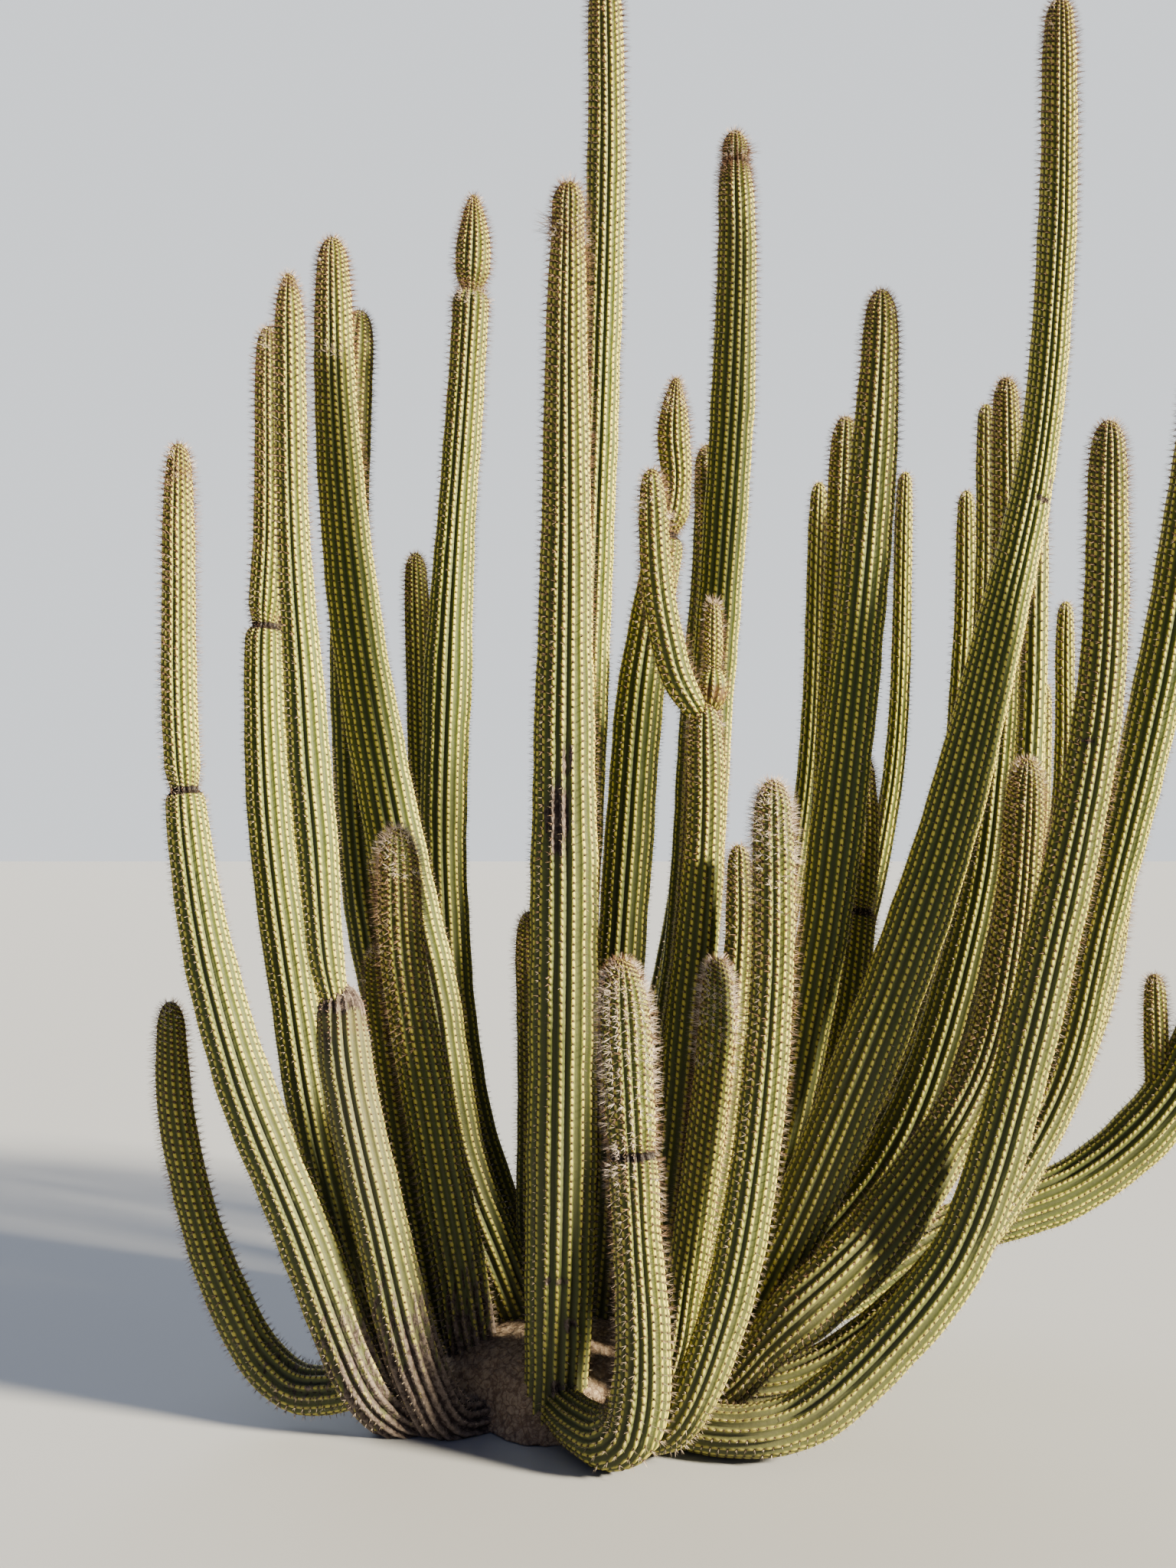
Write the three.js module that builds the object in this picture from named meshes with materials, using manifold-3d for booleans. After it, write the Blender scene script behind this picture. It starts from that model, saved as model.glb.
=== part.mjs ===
// An organ pipe cactus, the whole plant at its real size, in millimetres with +Z up.
// The origin is on the ground, in the middle of the plant's foot, and +X and +Y lie level.
// A low woody root crown carries every arm. Each arm rises from it, or from another arm,
// sweeps outward and turns up, and ends in a blunt bullet-shaped tip.
import * as THREE from 'three';
import { mergeVertices } from 'three/addons/utils/BufferGeometryUtils.js';
import Module from 'manifold-3d';

const wasm = await Module();
wasm.setup();

// Driving dimensions of the root crown.
const CROWN_CENTRE = [40, 170];
const CROWN_HALF_WIDTH = 380;
const CROWN_HALF_DEPTH = 330;
const CROWN_HEIGHT = 195;
const FLARE_REACH = 0.1; // how far the foot flares out, as a share of the half width
const ROOT_LOBES = 7; // buttresses round the foot, where the main roots leave it
const SIDES_PER_LOBE = 4;
const LOBE_DEPTH = 0.055; // of a buttress, as a share of the half width
const LUMPS = 3; // broad swellings of the crown's top
const LUMP_HEIGHT = 0.06;

// Driving dimensions that all the arms share.
const SIDES = 10;
const SLENDER_SIDES = 8;
const SLENDER_FOOT = 96; // an arm whose foot is thinner than this has the fewer sides
const RING_SPACING = 290; // between rings on a straight stretch
// The tip's dome: distance from the very top as a share of its girth, and the radius left there.
const TIP_RINGS = [[1, 1], [0.5, 0.87], [0.17, 0.56]];
const WAIST_REACH = 42; // half the length of a growth waist
const JOINT_GAP = 0.4; // between an arm and whatever it grows from or leans on
const GROUND_GAP = 1; // arms end this far above the ground round the root crown

// Colours of the skin and the wood.
const SKIN = { color: 0x7d8548, roughness: 0.72, metalness: 0 };
const OLD_SKIN = { color: 0x6a6e4c, roughness: 0.82, metalness: 0 }; // greyer, low on the plant
const BARK = { color: 0x5b4a3d, roughness: 0.92, metalness: 0 };

// Each arm passes through its stations, foot first: x, y, z and the arm's girth there.
// A waist is a narrow ring where a season's growth stopped: its height and the girth left.
// An arm with a bend is cut in two at that station, so each half keeps its own side of the gap.
const ARMS = [
  // Front of the crown.
  { name: 'arm_front_centre', waists: [[1560, 152]], stations: [
    [-10, -100, -20, 150], [0, -100, 135, 165], [10, -110, 530, 180], [20, -120, 1345, 175],
    [20, -110, 1775, 155], [25, -90, 2285, 130], [25, -80, 2780, 110], [30, -70, 3200, 100]] },
  { name: 'arm_front_short', bend: 3, waists: [[765, 104]], stations: [
    [-5, -90, 72, 115], [75, -270, 74, 130], [140, -360, 82, 140], [190, -382, 160, 145],
    [210, -390, 330, 130], [195, -380, 600, 115], [170, -355, 1050, 122], [160, -350, 1230, 110]] },
  { name: 'arm_front_right', stations: [
    [150, 10, 60, 95], [255, -270, 62, 102], [320, -350, 155, 106], [415, -350, 410, 120],
    [480, -340, 735, 115], [525, -310, 1175, 105], [530, -285, 1660, 100]] },
  { name: 'arm_front_little', stations: [
    [185, 0, 40, 90], [280, -130, 165, 95], [330, -180, 450, 100], [400, -180, 1025, 92],
    [405, -170, 1215, 78]] },
  { name: 'arm_brown_topped', stations: [
    [205, 50, 80, 90], [305, -30, 270, 86], [400, -50, 590, 86], [470, -50, 1245, 75],
    [470, -50, 1495, 70]] },

  // Right of the crown, nearest first.
  { name: 'arm_right_front', bend: 4, waists: [[1750, 112]], stations: [
    [125, -70, 58, 105], [330, -230, 64, 116], [475, -290, 74, 126], [625, -300, 120, 135],
    [905, -290, 390, 142], [1020, -280, 575, 136], [1235, -250, 1320, 130], [1350, -220, 1885, 115],
    [1375, -205, 2555, 92]] },
  { name: 'arm_right_swollen', bend: 6, stations: [
    [260, -50, 60, 96], [355, -120, 72, 105], [440, -150, 135, 110], [525, -170, 235, 116],
    [610, -180, 325, 160], [740, -170, 440, 165], [840, -130, 535, 170], [1095, -50, 905, 125],
    [1190, -20, 1280, 110], [1230, 0, 1720, 100]] },
  { name: 'arm_right_tall', waists: [[2385, 98]], stations: [
    [245, 70, 40, 120], [385, 10, 85, 132], [525, -30, 310, 145], [785, -50, 905, 165],
    [1005, -30, 1500, 150], [1165, -10, 2100, 122], [1260, 20, 2505, 100], [1320, 50, 3080, 100],
    [1335, 70, 3745, 86]] },
  { name: 'arm_right_edge', bend: 4, waists: [[1640, 108]], stations: [
    [245, 50, 65, 100], [445, -10, 75, 110], [640, -30, 112, 120], [900, -30, 285, 125],
    [1125, 0, 530, 130], [1330, 50, 860, 120], [1450, 70, 1295, 115], [1580, 90, 1805, 130],
    [1645, 100, 2115, 125], [1775, 150, 2885, 104]] },
  { name: 'arm_right_edge_branch', stations: [
    [1250, 50, 710, 76], [1405, 230, 840, 88], [1540, 350, 1100, 88], [1650, 450, 1590, 72]] },
  { name: 'arm_right_middle', stations: [
    [250, 170, 55, 115], [485, 210, 125, 125], [695, 230, 340, 140], [940, 220, 660, 150],
    [1140, 210, 1285, 122], [1205, 230, 1705, 105], [1245, 270, 2240, 86], [1255, 310, 2800, 80]] },
  { name: 'arm_right_leaning', stations: [
    [210, 170, 55, 115], [380, 230, 120, 125], [515, 180, 345, 130], [705, 150, 1185, 135],
    [750, 150, 1495, 145], [815, 180, 2020, 135], [860, 200, 2505, 130], [885, 220, 2865, 102],
    [890, 230, 3020, 94]] },
  { name: 'arm_right_waisted', waists: [[1290, 58]], stations: [
    [255, 250, 70, 95], [495, 320, 220, 100], [715, 350, 580, 100], [820, 370, 965, 95],
    [870, 380, 1470, 80], [865, 380, 1740, 74]] },
  { name: 'arm_right_low', bend: 5, stations: [
    [255, 270, 85, 110], [480, 400, 100, 125], [825, 510, 160, 140], [1130, 550, 320, 155],
    [1515, 550, 465, 165], [1740, 550, 645, 170], [1875, 550, 850, 160], [1985, 570, 1215, 140],
    [2045, 600, 1830, 118]] },
  { name: 'arm_right_low_shoot', stations: [
    [1770, 560, 715, 66], [1770, 570, 915, 74], [1765, 570, 1095, 72]] },

  // Middle and back of the crown.
  { name: 'arm_middle_tallest', stations: [
    [-15, 210, 45, 135], [10, 220, 335, 140], [30, 210, 1075, 125], [60, 210, 1495, 118],
    [90, 200, 2125, 106], [130, 200, 3385, 104], [125, 200, 3905, 90]] },
  { name: 'arm_middle_forked', stations: [
    [165, 150, 45, 110], [275, 100, 370, 120], [355, 50, 1095, 120], [390, 50, 1540, 100],
    [390, 50, 1875, 95]] },
  { name: 'arm_fork_left', stations: [
    [378, 48, 1840, 64], [330, 28, 1925, 84], [305, 20, 2005, 92], [270, 0, 2180, 84],
    [245, -10, 2475, 72]] },
  { name: 'arm_fork_right', waists: [[1960, 46]], stations: [
    [402, 54, 1850, 46], [410, 70, 1925, 64], [414, 74, 2030, 56], [414, 74, 2140, 52]] },
  { name: 'arm_middle_pinched', waists: [[2360, 52]], stations: [
    [105, 210, 85, 120], [140, 270, 425, 130], [160, 310, 955, 135], [195, 330, 1490, 140],
    [230, 350, 1925, 135], [278, 350, 2230, 112], [330, 350, 2490, 84], [322, 350, 2650, 92],
    [330, 350, 2810, 84]] },
  { name: 'arm_back_banded', waists: [[3530, 82]], stations: [
    [130, 350, 80, 120], [230, 420, 300, 130], [375, 460, 1045, 135], [440, 470, 1890, 125],
    [505, 520, 2770, 130], [520, 535, 3250, 110], [515, 550, 3595, 100]] },
  { name: 'arm_middle_stub', stations: [
    [-45, 350, 35, 105], [-70, 410, 390, 110], [-75, 430, 825, 96], [-90, 430, 1290, 86]] },
  { name: 'arm_back_right_dark', stations: [
    [255, 300, 105, 100], [380, 380, 225, 106], [645, 490, 705, 105], [775, 570, 1370, 105],
    [825, 600, 2060, 100], [855, 620, 2765, 88]] },
  { name: 'arm_back_right_tall', stations: [
    [75, 450, 55, 110], [180, 620, 240, 118], [355, 710, 1015, 120], [420, 720, 1880, 115],
    [460, 730, 2495, 106], [445, 730, 2705, 96]] },
  { name: 'arm_back_knobbed', waists: [[3145, 66]], stations: [
    [-25, 330, 55, 118], [-95, 470, 195, 134], [-275, 530, 695, 140], [-345, 550, 1375, 135],
    [-335, 550, 1985, 145], [-315, 570, 2395, 116], [-285, 600, 2860, 110], [-265, 620, 3280, 106],
    [-265, 630, 3435, 96]] },
  { name: 'arm_back_left_dark', stations: [
    [-35, 430, 75, 95], [-145, 630, 195, 100], [-320, 790, 645, 100], [-425, 870, 1405, 95],
    [-470, 900, 2400, 78]] },

  // Left of the crown, nearest first.
  { name: 'arm_left_outer', waists: [[1630, 72]], stations: [
    [-235, 0, 0, 110], [-365, -90, 10, 120], [-440, -120, 70, 130], [-495, -150, 160, 140],
    [-640, -170, 545, 145], [-790, -180, 930, 140], [-890, -170, 1310, 120], [-945, -150, 1735, 90],
    [-960, -120, 2240, 84], [-965, -100, 2520, 76]] },
  { name: 'arm_left_low', bend: 3, stations: [
    [-480, -150, 140, 110], [-580, -110, 108, 120], [-670, -80, 105, 125], [-765, -50, 170, 120],
    [-845, -50, 315, 115], [-920, -50, 510, 100], [-985, -50, 805, 92], [-1000, -50, 1090, 78]] },
  { name: 'arm_left_scarred', stations: [
    [-135, 0, 0, 130], [-270, -100, 20, 145], [-345, -130, 155, 150], [-440, -170, 545, 136],
    [-525, -170, 930, 136], [-535, -170, 1150, 125]] },
  { name: 'arm_left_regrown', stations: [
    [-550, -178, 1085, 66], [-575, -180, 1215, 90], [-600, -170, 1505, 105], [-620, -160, 1695, 110],
    [-635, -150, 1890, 100], [-670, -110, 2280, 82], [-690, -70, 2965, 78]] },
  { name: 'arm_left_banded', waists: [[2070, 74]], stations: [
    [-280, 50, -20, 120], [-400, 30, 55, 135], [-505, 20, 290, 140], [-625, 40, 690, 135],
    [-700, 60, 1090, 125], [-765, 80, 1540, 120], [-790, 110, 1990, 104], [-780, 130, 2325, 84],
    [-785, 150, 2895, 74]] },
  { name: 'arm_left_short', stations: [
    [-120, 50, 0, 120], [-215, 100, 105, 138], [-265, 90, 370, 145], [-340, 60, 785, 135],
    [-410, 50, 1195, 120], [-425, 50, 1540, 112]] },
  { name: 'arm_left_little', stations: [
    [-165, 150, 25, 95], [-295, 200, 110, 104], [-380, 190, 450, 110], [-450, 180, 870, 105],
    [-495, 175, 1210, 100]] },
  { name: 'arm_left_thick', stations: [
    [-20, 210, 45, 125], [-85, 250, 135, 150], [-170, 260, 325, 160], [-290, 270, 640, 165],
    [-360, 265, 1070, 160], [-455, 255, 1495, 160], [-570, 270, 2135, 145], [-625, 300, 2695, 122],
    [-645, 345, 3205, 92]] },
  { name: 'arm_left_shaded', stations: [
    [-110, 300, 55, 105], [-240, 420, 190, 115], [-405, 550, 580, 120], [-585, 650, 1205, 120],
    [-650, 700, 1905, 115], [-645, 730, 2660, 110], [-625, 750, 3125, 98]] },

  // Slender arms at the back.
  { name: 'arm_slender_a', stations: [
    [220, 450, 100, 90], [430, 650, 235, 95], [915, 970, 675, 90], [1230, 1070, 1350, 85],
    [1320, 1090, 2105, 75], [1335, 1110, 2640, 65]] },
  { name: 'arm_slender_b', stations: [
    [260, 410, 115, 90], [530, 570, 255, 90], [1070, 830, 760, 86], [1285, 910, 1480, 80],
    [1355, 950, 2215, 70], [1365, 970, 2890, 62]] },
  { name: 'arm_slender_c', stations: [
    [150, 470, 95, 86], [330, 730, 210, 90], [820, 1090, 715, 85], [1085, 1150, 1600, 72],
    [1140, 1150, 2710, 58]] },
  { name: 'arm_slender_d', bend: 3, stations: [
    [305, 450, 100, 90], [645, 670, 230, 94], [1290, 1050, 710, 86], [1640, 1170, 1420, 75],
    [1695, 1210, 2285, 62]] },
  { name: 'arm_slender_e', bend: 3, stations: [
    [265, 470, 95, 90], [540, 790, 195, 94], [1175, 1230, 615, 90], [1580, 1290, 1285, 76],
    [1650, 1310, 2020, 66]] },
  { name: 'arm_slender_f', stations: [
    [130, 490, 90, 86], [230, 800, 190, 90], [625, 1170, 755, 80], [815, 1250, 1600, 74],
    [870, 1270, 2700, 62]] },

  // Back arms, seen mostly from the sides and from behind.
  { name: 'arm_back_right_outer', bend: 3, stations: [
    [260, 350, 110, 100], [485, 450, 155, 105], [950, 570, 440, 110], [1345, 690, 1015, 105],
    [1440, 750, 1720, 92], [1470, 780, 2575, 84]] },
  { name: 'arm_rear_a', stations: [
    [-5, 470, 85, 105], [-15, 700, 315, 110], [0, 870, 995, 112], [15, 950, 2215, 108],
    [25, 990, 3165, 92]] },
  { name: 'arm_rear_b', stations: [
    [-175, 350, 60, 96], [-330, 500, 165, 100], [-625, 670, 670, 102], [-820, 780, 1480, 96],
    [-870, 850, 2975, 82]] },
  { name: 'arm_rear_c', stations: [
    [-85, 470, 50, 100], [-245, 730, 175, 106], [-470, 970, 735, 112], [-630, 1050, 1600, 106],
    [-725, 1090, 2840, 90]] },
  { name: 'arm_rear_d', stations: [
    [30, 490, 65, 105], [110, 770, 245, 112], [330, 930, 985, 116], [470, 970, 1845, 110],
    [550, 1010, 3395, 94]] },
  { name: 'arm_rear_e', bend: 3, stations: [
    [300, 350, 100, 100], [630, 550, 170, 106], [1200, 870, 560, 112], [1500, 910, 915, 106],
    [1705, 970, 1725, 104], [1765, 1000, 2470, 90]] },
  { name: 'arm_rear_f', stations: [
    [235, 370, 105, 100], [390, 530, 245, 106], [675, 750, 680, 106], [860, 870, 1480, 102],
    [990, 910, 2600, 90]] },
];

// Lays out one arm: its centre line, the distance of each station along it, and its girth anywhere.
function layOutArm({ stations, waists = [] }) {
  const curve = new THREE.CatmullRomCurve3(stations.map(([x, y, z]) => new THREE.Vector3(x, y, z)));
  const stepsPerSpan = 60;
  curve.arcLengthDivisions = stepsPerSpan * (stations.length - 1);
  const lengths = curve.getLengths();
  const length = lengths.at(-1);
  const distances = stations.map((_, i) => lengths[i * stepsPerSpan]);
  const pinches = waists.map(([height, girth]) => {
    const step = lengths.findIndex((_, i) => curve.getPoint(i / (lengths.length - 1)).z >= height);
    return { distance: lengths[step], girth };
  });
  const plainGirth = (distance) => {
    const next = Math.max(1, distances.findIndex((d) => d >= distance - 1e-6));
    const share = (distance - distances[next - 1]) / (distances[next] - distances[next - 1]);
    return THREE.MathUtils.lerp(stations[next - 1][3], stations[next][3], share);
  };
  const girth = (distance) => pinches.reduce((g, pinch) => {
    const nearness = Math.max(0, 1 - Math.abs(distance - pinch.distance) / WAIST_REACH);
    return THREE.MathUtils.lerp(g, Math.min(g, pinch.girth), nearness);
  }, plainGirth(distance));
  return { curve, length, distances, pinches, girth };
}

// Distance and radius of each ring of the stretch of an arm from one distance to another.
function ringsOf(path, from, to) {
  const tipGirth = path.girth(path.length);
  const endsInTip = to === path.length;
  const sideEnd = endsInTip ? to - tipGirth : to;
  const marks = [from, ...path.distances.filter((d) => d > from && d < sideEnd), sideEnd];
  const places = new Set([from]);
  for (let i = 1; i < marks.length; i += 1) {
    const parts = Math.max(1, Math.round((marks[i] - marks[i - 1]) / RING_SPACING));
    for (let k = 1; k <= parts; k += 1) {
      places.add(THREE.MathUtils.lerp(marks[i - 1], marks[i], k / parts));
    }
  }
  let rings = [...places].filter((d) => endsInTip ? d < sideEnd - WAIST_REACH / 2 : true);
  for (const { distance } of path.pinches) {
    if (distance < from + WAIST_REACH || distance > sideEnd - WAIST_REACH) continue;
    rings = rings.filter((d) => d === from || Math.abs(d - distance) > WAIST_REACH * 1.5);
    rings.push(distance - WAIST_REACH, distance, distance + WAIST_REACH);
  }
  rings.sort((a, b) => a - b);
  const profile = rings.map((d) => [d, path.girth(d) / 2]);
  if (endsInTip) {
    for (const [back, share] of TIP_RINGS) profile.push([to - back * tipGirth, share * tipGirth / 2]);
  }
  return profile;
}

// Turns a straight turned column into an arm by bending it along the arm's centre line.
// The column stands on Y; its sections stay square to the line and keep one level direction.
function bendAlong(path, column) {
  const start = path.curve.getPointAt(0);
  const end = path.curve.getPointAt(1);
  const level = new THREE.Vector3(start.y - end.y, end.x - start.x, 0).normalize();
  const place = column.getAttribute('position');
  const point = new THREE.Vector3();
  for (let i = 0; i < place.count; i += 1) {
    point.fromBufferAttribute(place, i);
    const at = THREE.MathUtils.clamp(point.y / path.length, 0, 1);
    const along = path.curve.getTangentAt(at);
    const across = level.clone().addScaledVector(along, -level.dot(along)).normalize();
    const over = new THREE.Vector3().crossVectors(across, along);
    const centre = path.curve.getPointAt(at);
    centre.addScaledVector(along, point.y - at * path.length);
    centre.addScaledVector(across, point.x).addScaledVector(over, point.z);
    place.setXYZ(i, centre.x, centre.y, centre.z);
  }
  return column;
}

// A closed solid of a geometry, ready for joins and cuts.
function toSolid(geometry) {
  const mergeReach = 1e-3;
  const shape = geometry.clone();
  shape.deleteAttribute('normal');
  shape.deleteAttribute('uv');
  const merged = mergeVertices(shape, mergeReach);
  const index = [...merged.index.array];
  const triangles = [];
  for (let i = 0; i < index.length; i += 3) {
    const [a, b, c] = index.slice(i, i + 3);
    if (a !== b && b !== c && c !== a) triangles.push(a, b, c);
  }
  const solidOf = (triVerts) => new wasm.Manifold(new wasm.Mesh({
    numProp: 3,
    vertProperties: Float32Array.from(merged.getAttribute('position').array),
    triVerts: Uint32Array.from(triVerts),
  }));
  const solid = solidOf(triangles);
  return solid.volume() > 0 ? solid : solidOf(triangles.reverse());
}

// One stretch of an arm as a solid, its skin moved outward by the growth.
function armSolid(arm, path, from, to, growth) {
  const sides = arm.stations[0][3] < SLENDER_FOOT ? SLENDER_SIDES : SIDES;
  const rings = ringsOf(path, from, to).map(([d, radius]) => new THREE.Vector2(radius + growth, d));
  const foot = new THREE.Vector2(0, from - growth);
  const top = new THREE.Vector2(0, to + growth);
  rings[0].y -= growth;
  if (to < path.length) rings.at(-1).y += growth;
  return toSolid(bendAlong(path, new THREE.LatheGeometry([foot, ...rings, top], sides)));
}

// The root crown: a low dome with a flat cut at the ground, whose foot flares into root buttresses.
// The profile is in shares of the crown's half width and height.
function rootCrown(growth) {
  const profile = [
    [0, 0], [1 + FLARE_REACH, 0], [1 + FLARE_REACH * 0.4, 0.14], [0.98, 0.36], [0.92, 0.62],
    [0.76, 0.86], [0.42, 1], [0, 1.02],
  ];
  const dome = new THREE.LatheGeometry(
    profile.map(([r, h]) => new THREE.Vector2(r, h)),
    ROOT_LOBES * SIDES_PER_LOBE,
  );
  dome.rotateX(Math.PI / 2);
  const place = dome.getAttribute('position');
  for (let i = 0; i < place.count; i += 1) {
    const [x, y, h] = [place.getX(i), place.getY(i), place.getZ(i)];
    const turn = Math.atan2(y, x);
    const lobe = 1 + LOBE_DEPTH * Math.cos(ROOT_LOBES * turn) * (1.2 - h);
    const lump = 1 + LUMP_HEIGHT * Math.cos(LUMPS * turn + 1) * Math.hypot(x, y);
    place.setXYZ(
      i,
      CROWN_CENTRE[0] + x * (CROWN_HALF_WIDTH * lobe + growth),
      CROWN_CENTRE[1] + y * (CROWN_HALF_DEPTH * lobe + growth),
      h * lump * CROWN_HEIGHT + (h > 0 ? growth : -growth),
    );
  }
  return toSolid(dome);
}

// The soil under the plant, which the arms that touch the ground are cut level above.
function groundBelow() {
  const reach = 3000;
  const slab = new THREE.BoxGeometry(reach, reach, reach);
  slab.translate(0, 0, GROUND_GAP - reach / 2);
  return toSolid(slab);
}

// A mesh of a solid, with its own origin at the given place.
function toMesh(name, solid, origin, finish) {
  const { vertProperties, triVerts } = solid.getMesh();
  const geometry = new THREE.BufferGeometry();
  geometry.setAttribute('position', new THREE.BufferAttribute(Float32Array.from(vertProperties), 3));
  geometry.setIndex([...triVerts]);
  geometry.translate(-origin[0], -origin[1], -origin[2]);
  geometry.computeVertexNormals();
  const mesh = new THREE.Mesh(geometry, new THREE.MeshStandardMaterial(finish));
  mesh.name = name;
  mesh.position.set(...origin);
  return mesh;
}

// Puts the plant together: every arm is cut clear of the root crown, the ground and the arms before it.
function buildPlant() {
  const plant = new THREE.Group();
  plant.name = 'organ_pipe_cactus';
  plant.add(toMesh('root_crown', rootCrown(0), [0, 0, 0], BARK));
  const ground = groundBelow();
  const standing = [rootCrown(JOINT_GAP)];
  for (const arm of ARMS) {
    const path = layOutArm(arm);
    const cut = arm.bend ? path.distances[arm.bend] : null;
    const stretches = cut
      ? [[`${arm.name}_bend`, 0, cut], [arm.name, cut + JOINT_GAP, path.length]]
      : [[arm.name, 0, path.length]];
    const grown = [];
    for (const [name, from, to] of stretches) {
      let solid = armSolid(arm, path, from, to, 0);
      for (const other of standing) solid = solid.subtract(other);
      if (solid.boundingBox().min[2] < GROUND_GAP) solid = solid.subtract(ground);
      const pieces = solid.decompose();
      pieces.sort((a, b) => b.volume() - a.volume());
      const origin = path.curve.getPointAt(from / path.length).toArray().map(Math.round);
      plant.add(toMesh(name, pieces[0], origin, to === cut ? OLD_SKIN : SKIN));
      grown.push(armSolid(arm, path, from, to, JOINT_GAP));
    }
    standing.push(...grown);
  }
  return plant;
}

export default buildPlant();
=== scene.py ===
import math

import bpy
import numpy as np
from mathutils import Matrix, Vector


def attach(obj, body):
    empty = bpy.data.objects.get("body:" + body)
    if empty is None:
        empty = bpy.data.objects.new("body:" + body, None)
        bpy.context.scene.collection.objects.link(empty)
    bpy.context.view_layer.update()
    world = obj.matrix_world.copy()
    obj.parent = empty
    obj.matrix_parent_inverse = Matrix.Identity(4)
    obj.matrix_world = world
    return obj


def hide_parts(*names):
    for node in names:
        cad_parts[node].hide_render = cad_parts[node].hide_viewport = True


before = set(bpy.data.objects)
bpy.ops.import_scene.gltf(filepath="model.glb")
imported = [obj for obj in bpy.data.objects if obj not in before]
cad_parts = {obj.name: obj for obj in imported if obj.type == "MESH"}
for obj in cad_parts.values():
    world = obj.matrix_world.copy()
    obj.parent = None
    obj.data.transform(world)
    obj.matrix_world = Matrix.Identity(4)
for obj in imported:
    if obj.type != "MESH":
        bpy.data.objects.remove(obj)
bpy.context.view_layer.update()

# Camera
# The plant is seen from standing height, straight from its front, through a lens that takes in
# about 40 degrees across. The small shift keeps the upright arms upright in the picture.
PHOTO_HEIGHT = 2048
FOCAL_LENGTH = 2072  # in the photograph's pixels
HORIZON_BELOW_MIDDLE = 26
EYE = (0.08, -4.15, 1.6)  # in metres


def add_object(name, data):
    """Adds an object to the scene."""
    thing = bpy.data.objects.new(name, data)
    bpy.context.scene.collection.objects.link(thing)
    return thing


camera_data = bpy.data.cameras.new("camera")
camera_data.sensor_width = 36
camera_data.lens = FOCAL_LENGTH / PHOTO_HEIGHT * camera_data.sensor_width
camera_data.shift_y = HORIZON_BELOW_MIDDLE / PHOTO_HEIGHT
camera = add_object("camera", camera_data)
camera.location = EYE
camera.rotation_euler = (math.radians(90), 0, 0)
bpy.context.scene.camera = camera


# Root crown
# The old woody foot that carries every arm: corky grey-brown bark, cracked into plates, over a low
# dome that flares into root buttresses. It is grown in place, and ends in a flat cut at the ground.
MM = 0.001
CROWN_CENTRE = (40, 170)
CROWN_HALF_WIDTH = 380
CROWN_HALF_DEPTH = 330
CROWN_HEIGHT = 195
CROWN_PROFILE = [  # shares of the half width and of the height, from the middle of the cut to the top
    (0, 0), (1.1, 0), (1.04, 0.14), (0.98, 0.36), (0.92, 0.62), (0.76, 0.86), (0.42, 1), (0, 1.02),
]
ROOT_LOBES = 7
LOBE_DEPTH = 0.055  # as a share of the half width
LUMP_HEIGHT = 0.06  # as a share of the height
LUMPS_PER_METRE = 11
WELD = 0.01  # points that lie closer than this become one
BARK_PLATE = 26.32  # sizes of the bark's pattern, in millimetres
BARK_SWIRL = 62.5
BARK_SWAY = 70
BARK_CRUMB = 11.11
BARK_STAIN = 111.1
BARK_RELIEF = 4
BARK_DARK = 0x3D3028
BARK_MIDDLE = 0x6A5848
BARK_PALE = 0x91806B


def linear(colour):
    """An sRGB hex colour as linear red, green, blue and alpha."""
    channels = [(colour >> shift & 255) / 255 for shift in (16, 8, 0)]
    return [c / 12.92 if c <= 0.04045 else ((c + 0.055) / 1.055) ** 2.4 for c in channels] + [1]


def add_node(tree, kind, inputs=(), operation=None, stops=(), **settings):
    """Adds a node, its kind given without the family's name, and returns its first live output. Its
    inputs, in a row or by name or number, get values or links, and a ramp its stops from the left."""
    family = next(f for f in ("ShaderNode", "GeometryNode", "FunctionNode") if hasattr(bpy.types, f + kind))
    node = tree.nodes.new(family + kind)
    for key, value in settings.items():
        setattr(node, key, value)
    if operation:
        node.operation = operation
    for k, (position, colour) in enumerate(stops):
        stop = node.color_ramp.elements[k] if k < 2 else node.color_ramp.elements.new(position)
        stop.position = position
        stop.color = linear(colour)
    for key, value in inputs.items() if isinstance(inputs, dict) else enumerate(inputs):
        named = [s for s in node.inputs if s.name == key and s.enabled]
        socket = node.inputs[key] if isinstance(key, int) else named[0]
        if isinstance(value, bpy.types.NodeSocket):
            tree.links.new(value, socket)
        else:
            socket.default_value = value
    return next(s for s in node.outputs if s.enabled)


def new_tree(name, inputs):
    """A Geometry Nodes tree that takes a mesh and the named inputs, with the sockets that these come
    from and the one that its result goes to."""
    tree = bpy.data.node_groups.new(name, "GeometryNodeTree")
    tree.interface.new_socket("Mesh", in_out="INPUT", socket_type="NodeSocketGeometry")
    for title, kind in inputs.items():
        tree.interface.new_socket(title, in_out="INPUT", socket_type="NodeSocket" + kind)
    tree.interface.new_socket("Mesh", in_out="OUTPUT", socket_type="NodeSocketGeometry")
    return tree, tree.nodes.new("NodeGroupInput").outputs, tree.nodes.new("NodeGroupOutput").inputs[0]


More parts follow.
